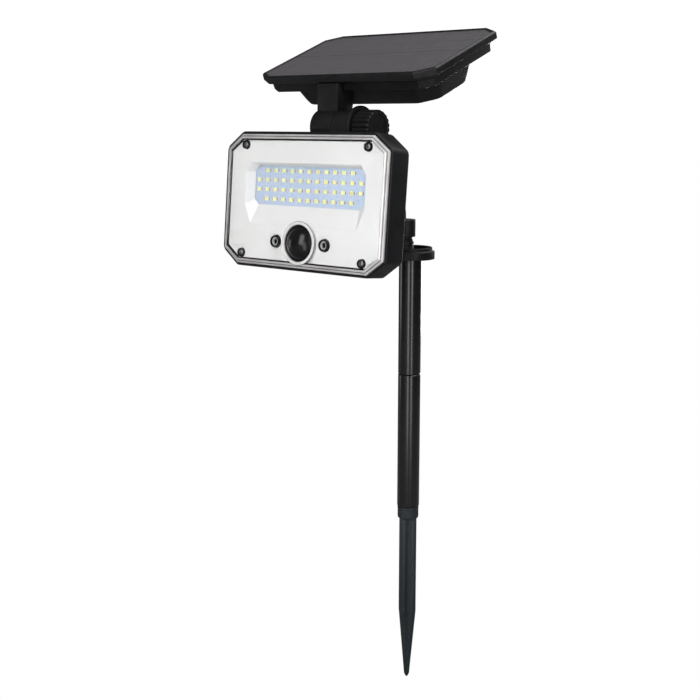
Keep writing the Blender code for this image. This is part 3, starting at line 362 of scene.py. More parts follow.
def make_materials():
    abs_black = Look("black_abs", (0.0065, 0.0068, 0.0078), 0.42, specular_ior_level=0.16)
    abs_black.vary_colour(abs_black.noise(60), (0.0048, 0.0050, 0.0058), (0.0074, 0.0077, 0.0086))
    abs_black.vary_roughness(abs_black.noise(140, 5), 0.38, 0.50)
    abs_black.bump(abs_black.noise(2600, 2), 0.00004, 0.5).bump(abs_black.noise(420, 3), 0.00004, 0.25)
    # Painted highlight: the convex edges of the black plastic are made lighter in colour.
    abs_black.paint_edge_highlights((0.018, 0.019, 0.021))

    tube = Look("gloss_tube", (0.0040, 0.0040, 0.0044), 0.20, specular_ior_level=0.45)
    tube.vary_colour(tube.noise(90), (0.0030, 0.0030, 0.0030), (0.0052, 0.0052, 0.0058))
    tube.vary_roughness(tube.noise(90, 3, (1, 1, 0.05)), 0.19, 0.25)
    tube.bump(tube.noise(260, 2, (1, 1, 0.06)), 0.00001, 0.16)

    spike = Look("spike_plastic", (0.013, 0.017, 0.020), 0.52, specular_ior_level=0.22)
    spike.vary_colour(spike.noise(120, 4, (1, 1, 0.12)), (0.008, 0.0105, 0.013), (0.016, 0.021, 0.0245))
    spike.vary_roughness(spike.noise(300, 4), 0.45, 0.62)
    spike.bump(spike.noise(2200, 2), 0.00005, 0.5).bump(spike.noise(260, 3, (1, 1, 0.15)), 0.00006, 0.3)
    # Painted highlight: the convex edges of the spike are made lighter in colour.
    spike.paint_edge_highlights((0.034, 0.040, 0.044))

    rubber = Look("rubber", (0.012, 0.012, 0.012), 0.80, specular_ior_level=0.3)
    rubber.vary_colour(rubber.noise(300), (0.009, 0.009, 0.009), (0.017, 0.017, 0.017))
    rubber.bump(rubber.noise(3000, 3), 0.00006, 0.6)

    pane = Look("clear_lens", (0.97, 0.98, 1.0), 0.02, transmission_weight=1.0, ior=1.35)
    pane.vary_roughness(pane.noise(25, 3), 0.0, 0.05)

    rim = Look("lens_rim", (0.33, 0.32, 0.33), 0.18, coat_weight=0.6, coat_roughness=0.08)
    rim.vary_colour(rim.noise(55, 2), (0.29, 0.28, 0.29), (0.38, 0.375, 0.38))
    rim.vary_roughness(rim.noise(240, 3), 0.14, 0.26)

    groove = Look("lens_groove", (0.10, 0.10, 0.11), 0.20, coat_weight=0.6)
    groove.vary_colour(groove.noise(120, 3), (0.07, 0.07, 0.075), (0.15, 0.15, 0.155))

    bezel = Look("lens_ring", (0.50, 0.50, 0.50), 0.20, coat_weight=0.3, coat_roughness=0.08)
    bezel.vary_colour(bezel.noise(150, 3), (0.47, 0.47, 0.47), (0.54, 0.54, 0.54))

    white = Look("white_reflector", (0.86, 0.855, 0.835), 0.34, coat_weight=0.12, coat_roughness=0.12)
    white.vary_colour(white.noise(45), (0.850, 0.846, 0.826), (0.870, 0.866, 0.848))
    white.vary_roughness(white.noise(420, 3), 0.30, 0.40)
    white.bump(white.noise(1800, 2), 0.00001, 0.25)

    board = Look("led_board", (0.56, 0.66, 0.86), 0.38, coat_weight=0.2)
    board.vary_colour(board.noise(900, 3), (0.46, 0.58, 0.75), (0.62, 0.70, 0.84))
    board.bump(board.noise(1500, 2), 0.00002, 0.4)

    package = Look("led_package", (0.95, 0.93, 0.72), 0.35)
    package.vary_colour(package.noise(600), (0.98, 0.95, 0.66), (1.0, 0.99, 0.80))

    phosphor = Look("led_phosphor", (0.90, 0.80, 0.20), 0.30, coat_weight=0.5)
    phosphor.vary_colour(phosphor.noise(500, 2), (1.0, 0.93, 0.32), (1.0, 1.0, 0.50))
    phosphor.bump(phosphor.noise(5000, 2), 0.00002, 0.5)

    circuit = Look("circuit_board", (0.012, 0.09, 0.035), 0.38, coat_weight=0.3)
    circuit.vary_colour(circuit.noise(350, 4), (0.008, 0.06, 0.025), (0.02, 0.13, 0.05))

    dome = Look("dome_black", (0.0045, 0.0045, 0.0050), 0.20, specular_ior_level=0.20)
    cells = dome.node("ShaderNodeTexVoronoi", scale=420)
    dome.links.new(dome.place, cells.inputs["Vector"])
    dome.vary_roughness(dome.noise(150), 0.17, 0.25)
    dome.vary_colour(dome.noise(160), (0.0035, 0.0035, 0.0040), (0.0075, 0.0075, 0.0085))
    dome.bump(cells.outputs["Distance"], 0.00008, 0.5)

    resin = Look("sensor_resin", (0.30, 0.31, 0.32), 0.22, coat_weight=0.6)
    resin.vary_colour(resin.noise(500), (0.25, 0.26, 0.27), (0.38, 0.39, 0.40))

    solar = Look("solar_cells", (0.060, 0.056, 0.066), 0.30, specular_ior_level=0.45)
    brick = solar_pattern(solar)
    solar.vary_colour(brick, (0.062, 0.057, 0.066), (0.026, 0.023, 0.028), start=0.0, end=1.0)
    solar.vary_roughness(solar.noise(90, 4), 0.27, 0.36)
    solar.bump(solar.noise(1600, 2), 0.00002, 0.35)

    sleeve = Look("cell_sleeve", (0.03, 0.12, 0.35), 0.35, coat_weight=0.4)
    sleeve.vary_colour(sleeve.noise(200), (0.02, 0.09, 0.28), (0.04, 0.15, 0.42))

    brass = Look("brass", (0.62, 0.45, 0.18), 0.28, 1.0)
    brass.vary_roughness(brass.noise(900, 4), 0.2, 0.42)

    steel = Look("zinc_steel", (0.40, 0.40, 0.41), 0.34, 1.0)
    steel.vary_colour(steel.noise(700, 4), (0.30, 0.30, 0.31), (0.50, 0.50, 0.51))
    steel.vary_roughness(steel.noise(1400, 4), 0.26, 0.46)

    dark = Look("dark_steel", (0.17, 0.17, 0.175), 0.46, 1.0)
    dark.vary_colour(dark.noise(900, 4), (0.13, 0.13, 0.135), (0.22, 0.22, 0.225))
    dark.vary_roughness(dark.noise(1400, 4), 0.38, 0.56)


def solar_pattern(look):
    """Lines between the solar cells and the fine fingers across them, from 0 on a cell to 1 on a line."""
    local = look.node("ShaderNodeMapping", vector_type="TEXTURE")
    local.inputs["Location"].default_value = PANEL.to_translation()
    local.inputs["Rotation"].default_value = PANEL.to_euler()
    look.links.new(look.place, local.inputs["Vector"])
    split = look.nodes.new("ShaderNodeSeparateXYZ")
    look.links.new(local.outputs["Vector"], split.inputs["Vector"])

    def line(axis, pitch, width, weight, offset=0.0):
        value = split.outputs[axis]
        for operation, other in (("ADD", offset), ("PINGPONG", pitch / 2)):
            step = look.nodes.new("ShaderNodeMath")
            step.operation = operation
            step.inputs[1].default_value = other
            look.links.new(value, step.inputs[0])
            value = step.outputs[0]
        test = look.nodes.new("ShaderNodeMath")
        test.operation = "LESS_THAN"
        test.inputs[1].default_value = width / 2
        look.links.new(value, test.inputs[0])
        scale = look.nodes.new("ShaderNodeMath")
        scale.operation = "MULTIPLY"
        scale.inputs[1].default_value = weight
        look.links.new(test.outputs[0], scale.inputs[0])
        return scale.outputs[0]

    total = line("X", 0.0260, 0.0005, 0.40, 0.0130)
    for other in (line("Y", 0.0900, 0.0011, 0.90), line("Y", 0.0148, 0.0007, 0.45, 0.0074),
                  line("X", 0.0016, 0.00012, 0.22)):
        top = look.nodes.new("ShaderNodeMath")
        top.operation = "MAXIMUM"
        look.links.new(total, top.inputs[0])
        look.links.new(other, top.inputs[1])
        total = top.outputs[0]
    return total


make_materials()


# ---------------------------------------------------------------- stake, flange and neck
def cross(reach, fin, root):
    """A cross of four fins, as its corners and the radius at each."""
    points, radii = [], []
    for quarter in range(4):
        turn = Matrix.Rotation(quarter * math.pi / 2, 2)
        for point, radius in (((reach, -fin / 2), fin * 0.42), ((reach, fin / 2), fin * 0.42),
                              ((root, root), root * 0.9)):
            points.append(tuple(turn @ Vector(point)))
            radii.append(radius)
    return plan(points, radii, 4)


def build_stake():
    bore = TUBE_R - TUBE_WALL
    spigot = bore - GAP
    inside = bore - TUBE_WALL
    spigot_length = 0.024
    lip = 0.0006
    shoulder = TUBE_R - 0.0004
    lower = [(bore, TUBE_END), (TUBE_R - lip, TUBE_END), (TUBE_R, TUBE_END + lip)]
    lower += [(TUBE_R, TUBE_JOINT - 0.0008), (shoulder, TUBE_JOINT - GAP), (bore, TUBE_JOINT - GAP)]
    piece("lower_tube_detail", revolved(lower, 0.0003, 96), "gloss_tube", "stake", replaces=("lower_tube",))
    upper = [(spigot, TUBE_JOINT - spigot_length), (spigot, TUBE_JOINT + 0.0002)]
    upper += [(shoulder, TUBE_JOINT), (TUBE_R, TUBE_JOINT + 0.0005), (TUBE_R, FLANGE_Z - GAP)]
    upper += [(bore, FLANGE_Z - GAP), (inside, TUBE_JOINT), (inside, TUBE_JOINT - spigot_length)]
    piece("upper_tube_detail", revolved(upper, [0, 0, 0.0002, 0.0003, 0, 0, 0, 0], 96), "gloss_tube", "stake",
          replaces=("upper_tube",))

    top = TUBE_END - GAP
    collar = [(0, -0.0012), (0.0083, -0.0012), (0.00845, 0.0002), (0.00845, top - 0.0028)]
    collar += [(0.0081, top - 0.0024), (0.0086, top - 0.0016), (0.0086, top - 0.0006), (0.0080, top)]
    collar += [(spigot, top), (spigot, top + spigot_length), (0, top + spigot_length)]
    radii = [0, 0.0004, 0.0006, 0.0003, 0.0002, 0.0003, 0.0003, 0.0002, 0, 0.0006, 0]
    piece("spike_collar", revolved(collar, radii, 96), "spike_plastic", "stake")
    reach, fin, root = 0.0077, 0.0046, 0.0034
    levels = [(-0.0006, 1.0, 1.0), (-0.0812, 1.0, 1.0)]
    levels += [(SPIKE_TIP + 0.0026, 0.26, 0.42), (SPIKE_TIP, 0.10, 0.16)]
    sections = [lying(cross(reach * a, fin * b, root * b), z) for z, a, b in levels]
    piece("spike_blade", loft(sections, [0, 0.020, 0.0016, 0], 6), "spike_plastic", "stake",
          replaces=("ground_spike",), smooth=50)


def build_flange():
    bottom, rim, floor = FLANGE_Z, FLANGE_Z + 0.0064, FLANGE_Z + 0.0040
    outer = TUBE_R + 0.0101
    spigot = TUBE_R - 0.0017
    inside = spigot - TUBE_WALL
    profile = [(0, floor), (0.0156, floor), (0.0158, rim + 0.0027), (0.0170, rim + 0.0027), (0.0173, rim)]
    profile += [(outer, rim), (outer, bottom), (spigot, bottom), (spigot, FLANGE_LOW)]
    profile += [(inside, FLANGE_LOW), (inside, bottom), (0, bottom)]
    radii = [0, 0.0008, 0.0006, 0.0006, 0.0004, 0.0009, 0.0005, 0.0003, 0.0003, 0.0003, 0.0003, 0]
    hole = [(0, bottom - 0.001), (0.0019, bottom - 0.001), (0.0019, floor - 0.0005)]
    hole += [(0.0026, floor + 0.0002), (0.0026, floor + 0.001), (0, floor + 0.001)]
    hole_circle = 0.0122
    holes = []
    for angle in (90, -5, 185):
        a = math.radians(angle)
        spot = Matrix.Translation((hole_circle * math.cos(a), hole_circle * math.sin(a), 0))
        holes.append(moved(revolved(hole, 0, 32), spot))
    piece("flange_detail", revolved(profile, radii, 112), "black_abs", "stake", replaces=("base_flange",),
          cuts=holes)

    axis = Matrix.Translation((SWIVEL.x, SWIVEL.y, 0))
    neck = [(0, floor - 0.0008), (0.0086, floor - 0.0008), (0.0080, floor + 0.0014)]
    neck += [(0.0062, FLANGE_Z + 0.0104), (0.0060, FLANGE_Z + 0.0152), (0.0056, FLANGE_Z + 0.0160)]
    neck += [(0.0042, FLANGE_Z + 0.0160)]
    neck += [(0.0042, FLANGE_Z + 0.0266), (0, FLANGE_Z + 0.0266)]
    radii = [0, 0.0003, 0.0012, 0.0030, 0.0004, 0.0003, 0.0002, 0.0004, 0]
    bore = rod(0.00185, FLANGE_Z + 0.0151, FLANGE_Z + 0.03, 24)
    piece("flange_neck", revolved(neck, radii, 72), "black_abs", "stake", place=axis, cuts=(bore,))
    collar = [(0.0060, FLANGE_Z + 0.0118), (0.0069, FLANGE_Z + 0.0122), (0.0069, FLANGE_Z + 0.0136),
              (0.0060, FLANGE_Z + 0.0140)]
    piece("neck_ring", revolved(collar, 0.0003, 72), "black_abs", "stake", place=axis)
    ribs = [block((side * 0.0070, -0.0079, floor - 0.0006), (side * 0.0157, -0.0063, rim - 0.0002))
            for side in SIDES]
    piece("flange_ribs", merged(ribs), "black_abs", "stake", bevel=(0.0004, 3))


def build_swivel():
    low = SWIVEL.z
    axis = Matrix.Translation((SWIVEL.x, SWIVEL.y, low))
    collar = [(0.0045, 0.0), (0.0080, 0.0), (0.0080, 0.0135), (0.0031, 0.0135), (0.0031, 0.0107)]
    collar += [(0.0019, 0.0107), (0.0019, 0.0093), (0.0045, 0.0093)]
    radii = [0.0003, 0.0008, 0.0008, 0.0004, 0.0002, 0.0002, 0.0002, 0.0002]
    piece("swivel_collar", revolved(collar, radii, 80), "black_abs", "swivel", place=axis)

    half, depth, bend_r = 0.0045, 0.0090, 0.0280
    back = SWIVEL.y - 0.0037
    bend_z = low + 0.0160
    mid_r = bend_r - depth / 2
    path = [(back - depth / 2, low + 0.0016, 0.0)]
    for i in range(17):
        a = math.radians(90 * i / 16)
        path.append((back - bend_r + mid_r * math.cos(a), bend_z + mid_r * math.sin(a), a))
    path.append((TILT_PIVOT.y, bend_z + mid_r, math.pi / 2))
    corners = [(half, depth / 2), (-half, depth / 2), (-half, -depth / 2), (half, -depth / 2)]
    section = plan(corners, 0.0016, 5)
    sections = []
    for y, z, a in path:
        outward = Vector((0, math.cos(a), math.sin(a)))
        sections.append([Vector((u, y, z)) + outward * v for u, v in section])
    piece("lamp_arm_detail", loft(sections), "black_abs", "swivel", replaces=("lamp_arm",), smooth=40)
    eye = [(0.0026, -0.0061), (0.0077, -0.0061), (0.0077, 0.0061), (0.0026, 0.0061)]
    piece("lamp_arm_eye", revolved(eye, 0.0006, 64), "black_abs", "swivel",
          place=Matrix.Translation(TILT_PIVOT) @ ALONG_X)


# ---------------------------------------------------------------- lamp head
HALF_W, HALF_H = 0.0750, 0.04635
CUT_W, CUT_H = 0.0140, 0.0103
PIR_Z = -0.0288
SENSOR_X = 0.0229
LENS_SCREWS = [(sx * 0.05685, sz * 0.0387) for sz in (1, -1) for sx in (-1, 1)]


def face(inset, depth, corner=0.0012):
    """The lens outline moved inward by an inset, at a depth behind the lens front."""
    return standing(plan(octagon(HALF_W, HALF_H, CUT_W, CUT_H, inset), max(corner - inset, 0.0002)), depth)


def in_lamp(spot):
    """Turns a shape about Z to run from front to back in the lamp's own frame."""
    return Matrix.Translation((spot[0], 0, spot[1])) @ ALONG_Y


def disc(spot, radius, start, end, segments=48):
    """A cylinder from front to back in the lamp's own frame."""
    return moved(rod(radius, start, end, segments), in_lamp(spot))


def lamp_turned(name, profile, radii, finish, spot, **more):
    """A piece turned about a front-to-back axis of the lamp."""
    shape = revolved(profile, radii, more.pop("segments", 64))
    return piece(name, shape, finish, "lamp", place=LAMP @ in_lamp(spot), **more)


def build_housing():
    back = plan(octagon(0.0605, 0.03185, CUT_W, CUT_H), 0.0025)
    inner = plan(octagon(0.0585, 0.02985, CUT_W, CUT_H), 0.0020)
    sections = [standing(inner, 0.0300), face(0.0036, 0.0210), face(0.0036, 0.0058), face(-0.0003, 0.0058),
                face(-0.0003, 0.0025), face(-0.0020, 0.0025, 0.0035), face(-0.0020, 0.0200, 0.0035),
                face(0.0020, 0.0240, 0.0035), standing(back, 0.0320)]
    radii = [0, 0, 0, 0, 0.0002, 0.0007, 0.0022, 0.0040, 0]
    shell = loft(sections, radii, 5)
    cuts = [disc(BUTTON, 0.0053, 0.0280, 0.0360)]
    piece("housing_shell", shell, "black_abs", "lamp", place=LAMP, replaces=("rear_housing",), cuts=cuts)

    panel_outer = plan(octagon(0.0540, 0.0255, 0.0110, 0.0080), 0.0020)
    panel_inner = plan(octagon(0.0524, 0.0239, 0.0104, 0.0075), 0.0016)
    ring = [standing(panel_outer, 0.0316), standing(panel_outer, 0.0324), standing(panel_inner, 0.0324),
            standing(panel_inner, 0.0316)]
    piece("housing_back_bead", loft(ring, [0, 0.0003, 0.0003, 0], 3, closed=True), "black_abs", "lamp",
          place=LAMP)

    at = (HINGE_IN_LAMP.y, HINGE_IN_LAMP.z)
    on_hinge = Matrix.Translation((0, *at)) @ ALONG_X
    ear = arc(at, HINGE_R, -10, 180, 40)
    ear += [(at[0] - HINGE_R, at[1] - 0.0093), (0.0210, at[1] - 0.0143), (0.0290, at[1] - 0.0293),
            (0.0350, at[1] - 0.0273)]
    bolt = moved(rod(BOLT_HOLE_R, -0.03, 0.03, 32), on_hinge)
    piece("hinge_ear", loft([side_on(ear, 0.00015), side_on(ear, 0.0165)]), "black_abs", "lamp", place=LAMP,
          cuts=(bolt,), bevel=(0.0005, 3))
    collar = [(0.0027, 0.0160), (0.0147, 0.0160), (0.0153, 0.0168), (0.0153, 0.0187), (0.0149, 0.0193),
              (0.0027, 0.0193)]
    piece("hinge_collar", revolved(collar, 0.0003, 96), "black_abs", "lamp", place=LAMP @ on_hinge)
    for i, start in enumerate((0.0012, 0.0140), 1):
        band = [(0.0122, start), (0.0128, start + 0.0003), (0.0128, start + 0.0012), (0.0122, start + 0.0015)]
        piece(f"hinge_band_{i}", revolved(band, 0.0002, 96), "black_abs", "lamp", place=LAMP @ on_hinge)

    lug = arc((PIVOT_IN_LAMP.y, PIVOT_IN_LAMP.z), 0.0080, -90, 90, 28)
    lug += [(0.0312, PIVOT_IN_LAMP.z + 0.0100), (0.0312, PIVOT_IN_LAMP.z - 0.0100)]
    lugs = [loft([side_on(lug, side * 0.0064), side_on(lug, side * 0.0114)]) for side in SIDES]
    piece("tilt_lugs", merged(lugs), "black_abs", "lamp", place=LAMP, bevel=(0.0006, 3))
    button_ring = [(0.0056, 0.0316), (0.0070, 0.0316), (0.0070, 0.0326), (0.0056, 0.0326)]
    lamp_turned("button_surround", button_ring, 0.0003, "black_abs", BUTTON)


def build_lens():
    plate = loft([face(0.0033, 0.0022), face(0.0033, 0.0001)])
    cuts = [disc((0, PIR_Z), 0.0140, -0.002, 0.004, 96)]
    cuts += [disc((side * SENSOR_X, PIR_Z), 0.0037, -0.001, 0.004) for side in SIDES]
    cuts += [disc(spot, 0.0026, -0.001, 0.004) for spot in LENS_SCREWS]
    piece("lens_pane", plate, "clear_lens", "lamp", place=LAMP, replaces=("front_lens",), cuts=cuts)
    wall = [face(0.0, 0.0046), face(0.0, 0.0018), face(0.0011, 0.0010), face(0.0013, 0.0013),
            face(0.0013, 0.0046)]
    radii = [0.0002, 0.0004, 0.0001, 0.0001, 0.0002]
    outer = piece("lens_rim_outer", loft(wall, radii, 3, closed=True), "lens_rim", "lamp", place=LAMP)
    wall = [face(0.0017, 0.0046), face(0.0017, 0.0012), face(0.0019, 0.0005), face(0.0030, 0.0),
            face(0.0033, 0.0001), face(0.0033, 0.0026), face(0.0026, 0.0046)]
    radii = [0.0002, 0.0001, 0.0002, 0.0002, 0.0001, 0.0001, 0.0002]
    inner = piece("lens_rim_inner", loft(wall, radii, 3, closed=True), "lens_rim", "lamp", place=LAMP)
    floor = [face(0.0013, 0.0044), face(0.0013, 0.0017), face(0.0017, 0.0017), face(0.0017, 0.0044)]
    groove = piece("lens_rim_groove", loft(floor, closed=True), "lens_groove", "lamp", place=LAMP)
    ring = [(0.0130, 0.0022), (0.0130, -0.0003), (0.0134, -0.0008), (0.0149, -0.0008), (0.0151, -0.0006),
            (0.0151, 0.0022)]
    ring = lamp_turned("lens_sensor_ring", ring, 0.0002, "lens_ring", (0, PIR_Z), segments=112)
    edge = [(0.0151, 0.00005), (0.0151, -0.0005), (0.0154, -0.0003), (0.0154, 0.00005)]
    edge = lamp_turned("lens_sensor_edge", edge, 0.0001, "lens_groove", (0, PIR_Z), segments=112)
    well = [(0.0022, 0.0021), (0.0022, 0.0006), (0.0026, 0.0), (0.0030, 0.0), (0.0030, 0.0021)]
    wells = [moved(revolved(well, 0.0002, 48), in_lamp(spot)) for spot in LENS_SCREWS]
    piece("lens_screw_wells", merged(wells), "black_abs", "lamp", place=LAMP)
    seal = [face(0.0034, 0.0047), face(0.0034, 0.0029), face(0.0046, 0.0029), face(0.0046, 0.0047)]
    piece("lens_seal", loft(seal, 0.0002, 2, closed=True), "rubber", "lamp", place=LAMP,
          replaces=("lens_gasket",))


def mirrored(right, corner):
    """A closed outline from its right half, listed from the bottom up."""
    return plan(right + [(-x, z) for x, z in reversed(right)], corner)


def recess(grow):
    half_w, top, bottom = 0.0560 + grow, 0.0265 + grow, -0.0175 - grow
    right = [(half_w - 0.006, bottom), (half_w, bottom + 0.014), (half_w, top - 0.007), (half_w - 0.005, top)]
    return mirrored(right, 0.0015)


def window(grow):
    half_w, top, bottom, cut = 0.0515 + grow, 0.0243 + grow, -0.0030 - grow, 0.0040
    right = [(half_w - cut, bottom), (half_w, bottom + cut), (half_w, top - cut), (half_w - cut, top)]
    return mirrored(right, 0.0008)


def build_reflector():
    outer = octagon(HALF_W, HALF_H, CUT_W, CUT_H, 0.0043)
    edge = plan(outer[6:] + outer[:6], 0.0006)  # from the corner where recess and window start
    front, back = 0.0027, 0.0040
    sections = [standing(edge, back), standing(edge, front), standing(recess(0), front),
                standing(window(0), 0.0082), standing(window(0.0011), 0.0084), standing(recess(0.0011), back)]
    cuts = [disc((0, PIR_Z), 0.0137, 0, 0.0080, 96)]
    cuts += [disc((side * SENSOR_X, PIR_Z), 0.0048, 0, 0.0080) for side in SIDES]
    cuts += [disc(spot, 0.0034, 0, 0.0080) for spot in LENS_SCREWS]
    shape = loft(sections, [0, 0.0003, 0.0009, 0.0002, 0, 0], 4, closed=True)
    piece("reflector_detail", shape, "white_reflector", "lamp", place=LAMP, replaces=("reflector",),
          cuts=cuts)
    bosses = [disc(spot, 0.0044, 0.0042, 0.0100) for spot in LENS_SCREWS]
    piece("screw_bosses", merged(bosses), "black_abs", "lamp", place=LAMP)
    well = [(0.0128, 0.0032), (0.0146, 0.0032), (0.0146, 0.0070), (0.0128, 0.0070)]
    lamp_turned("sensor_well", well, 0.0002, "black_abs", (0, PIR_Z), segments=96)


def build_leds():
    columns, rows, pitch_x, pitch_z, centre_z = 13, 4, 0.00795, 0.00674, 0.0111
    front = 0.0086
    outline = plan([(-0.0535, -0.0043), (0.0535, -0.0043), (0.0535, 0.0265), (-0.0535, 0.0265)], 0.0012, 4)
    board = loft([standing(outline, front), standing(outline, front + 0.0016)])
    piece("led_board_detail", board, "led_board", "lamp", place=LAMP, replaces=("led_board",))

    def rect(x, z, w, h, depth, corner=0.00025):
        line = plan([(-w, -h), (w, -h), (w, h), (-w, h)], corner, 2)
        return standing([(x + a, z + b) for a, b in line], depth)

    # Half width, half height and rise over the board of each outline of one chip.
    cup = ((0.00175, 0.0014, 0), (0.00175, 0.0014, 0.0005), (0.00165, 0.0013, 0.0007),
           (0.00145, 0.00112, 0.0007), (0.00125, 0.00095, 0.00045))
    gel = ((0.00132, 0.00102, 0.0004), (0.00132, 0.00102, 0.00062), (0.0008, 0.0006, 0.00070))
    pad, pad_x = (-0.0001, 0.00012), 0.00205
    bodies, lenses, pads = [], [], []
    for row in range(rows):
        for column in range(columns):
            if row in (0, rows - 1) and column in (0, columns - 1):
                continue
            x = (column - (columns - 1) / 2) * pitch_x
            z = centre_z + (row - (rows - 1) / 2) * pitch_z
            bodies.append(loft([rect(x, z, w, h, front - rise) for w, h, rise in cup]))
            lenses.append(loft([rect(x, z, w, h, front - rise) for w, h, rise in gel]))
            for side in SIDES:
                pads.append(loft([rect(x + side * pad_x, z, 0.0004, 0.0010, front - rise) for rise in pad]))
    packages = piece("led_packages", merged(bodies), "led_package", "lamp", place=LAMP)
    gels = piece("led_phosphor", merged(lenses), "led_phosphor", "lamp", place=LAMP)
    piece("led_solder", merged(pads), "zinc_steel", "lamp", place=LAMP)


def build_sensors():
    rim, rise = 0.0112, 0.0053
    sphere = (rim * rim + rise * rise) / (2 * rise)
    spread = math.asin(rim / sphere)
    steps = 14
    profile = []
    for i in range(steps + 1):
        a = spread * i / steps
        profile.append((sphere * math.sin(a), sphere - rise - sphere * math.cos(a)))
    profile += [(0.0114, 0.0003), (0.0117, -0.0003), (0.0125, -0.0002), (0.0127, 0.0008), (0.0127, 0.0034),
                (0.0100, 0.0036), (0, 0.0036)]
    radii = [0] * (steps + 1) + [0.0002, 0.0004, 0.0004, 0.0003, 0, 0, 0]
    lamp_turned("pir_dome_detail", profile, radii, "dome_black", (0, PIR_Z), segments=112,
                replaces=("pir_dome",))
    for side, label, node in ((-1, "left", "light_sensor"), (1, "right", "mode_indicator")):
        spot = (side * SENSOR_X, PIR_Z)
        bezel = [(0.0031, 0.0046), (0.0031, 0.0004), (0.0034, -0.0004), (0.0041, -0.0003), (0.0043, 0.0004),
                 (0.0043, 0.0046)]
        lamp_turned(f"bezel_{label}", bezel, 0.0002, "black_abs", spot, replaces=(f"sensor_bezel_{label}",))
        ring = [(0.0019, 0.0030), (0.0019, 0.0012), (0.0021, 0.0006), (0.0028, 0.0006), (0.0030, 0.0010),
                (0.0030, 0.0030)]
        lamp_turned(f"sensor_ring_{label}", ring, 0.0002, "sensor_resin", spot)
        eye = [(0, 0.0007), (0.0010, 0.0009), (0.0017, 0.0016), (0.0019, 0.0024), (0.0019, 0.0110),
               (0, 0.0110)]
        eye = lamp_turned(f"{node}_eye", eye, [0, 0.001, 0.001, 0.0005, 0, 0], "dome_black", spot,
                          replaces=(node,))


def screw_shape(head_r, head, shaft_r, shaft, segments=40):
    """A pan head screw with a cross recess. Its head's underside is at zero and its head points to +Z."""
    profile = [(0, -shaft), (shaft_r * 0.5, -shaft), (shaft_r, -shaft + shaft_r), (shaft_r, 0), (head_r, 0)]
    profile += [(head_r, head * 0.35), (head_r * 0.62, head * 0.93), (0, head)]
    return revolved(profile, [0, 0, 0, 0, head * 0.10, head * 0.45, head * 0.6, 0], segments)


def cross_recess(head_r, head):
    shapes = []
    for turn in (0, math.pi / 2):
        wide, narrow, long, short = head_r * 0.13, head_r * 0.08, head_r * 0.58, head_r * 0.30
        top = [(-long, -wide), (long, -wide), (long, wide), (-long, wide)]
        low = [(-short, -narrow), (short, -narrow), (short, narrow), (-short, narrow)]
        shape = loft([lying(low, head * 0.30), lying(top, head * 1.06)])
        shapes.append(moved(shape, Matrix.Rotation(turn, 4, "Z")))
    return shapes


def build_screws():
    def place_screw(name, node, body, matrix, head_r, head, shaft_r, shaft, finish="zinc_steel"):
        screw = piece(name, screw_shape(head_r, head, shaft_r, shaft), finish, body, place=matrix,
                      replaces=(node,), cuts=cross_recess(head_r, head))

    to_front = Matrix.Rotation(math.pi / 2, 4, "X")
    for i, spot in enumerate(LENS_SCREWS, 1):
        turn = Matrix.Rotation(0.5 * i, 4, "Z")
        matrix = LAMP @ Matrix.Translation((spot[0], 0.0012, spot[1])) @ to_front @ turn
        place_screw(f"lens_screw_{i}_detail", f"lens_screw_{i}", "lamp", matrix,
                    0.0021, 0.0009, 0.0014, 0.0105, "dark_steel")
    down = Matrix.Rotation(math.pi, 4, "X")
    corners = [(sx, sy) for sy in SIDES for sx in SIDES]
    for i, (sx, sy) in enumerate(corners, 1):
        turn = Matrix.Rotation(0.7 * i, 4, "Z")
        spot = Matrix.Translation((sx * PANEL_SCREW[0], sy * PANEL_SCREW[1], -0.0143))
        place_screw(f"panel_screw_{i}_detail", f"panel_screw_{i}", "panel", PANEL @ spot @ down @ turn,
                    0.0026, 0.0015, 0.0012, 0.0068)
        spot = Matrix.Translation((sx * COVER_SCREW[0], sy * COVER_SCREW[1], -0.0183))
        place_screw(f"cover_screw_{i}_detail", f"cover_screw_{i}", "panel", PANEL @ spot @ down @ turn,
                    0.0025, 0.0015, 0.0012, 0.0080)
    place_screw("swivel_screw_detail", "swivel_screw", "stake",
                Matrix.Translation((SWIVEL.x, SWIVEL.y, SWIVEL.z + 0.0118)), 0.0028, 0.0015, 0.0016, 0.0118)


# ---------------------------------------------------------------- hinges
def ribbed_ring(radius, depth, ribs, samples=10):
    points = []
    for i in range(ribs * samples):
        a = 2 * math.pi * i / (ribs * samples)
        dip = max(0.0, math.cos(a * ribs)) ** 1.6
        r = radius - depth * dip
        points.append((r * math.cos(a), r * math.sin(a)))
    return points


def build_knob(name, node, body, centre, start, length, radius, depth, ribs, face_r):
    ring = ribbed_ring(radius, depth, ribs)
    angles = [2 * math.pi * i / len(ring) for i in range(len(ring))]
    plain = [(radius * math.cos(a), radius * math.sin(a)) for a in angles]

    def at(outline, scale, x):
        return [Vector((start + x, a * scale, b * scale)) for a, b in outline]

    sections = [at(plain, 0.80, 0.0), at(ring, 0.955, 0.0), at(ring, 1.0, 0.0009),
                at(ring, 1.0, length - 0.0014), at(ring, 0.93, length), at(plain, face_r / radius, length),
                at(plain, (face_r - 0.0005) / radius, length - 0.0006), at(plain, 0.02, length - 0.0004)]
    radii = [0, 0.0003, 0.0006, 0.0009, 0.0006, 0.0003, 0.0003, 0]
    piece(name, loft(sections, radii, 4), "black_abs", body, place=Matrix.Translation(centre),
          replaces=(node, f"{node}_insert"), smooth=45)


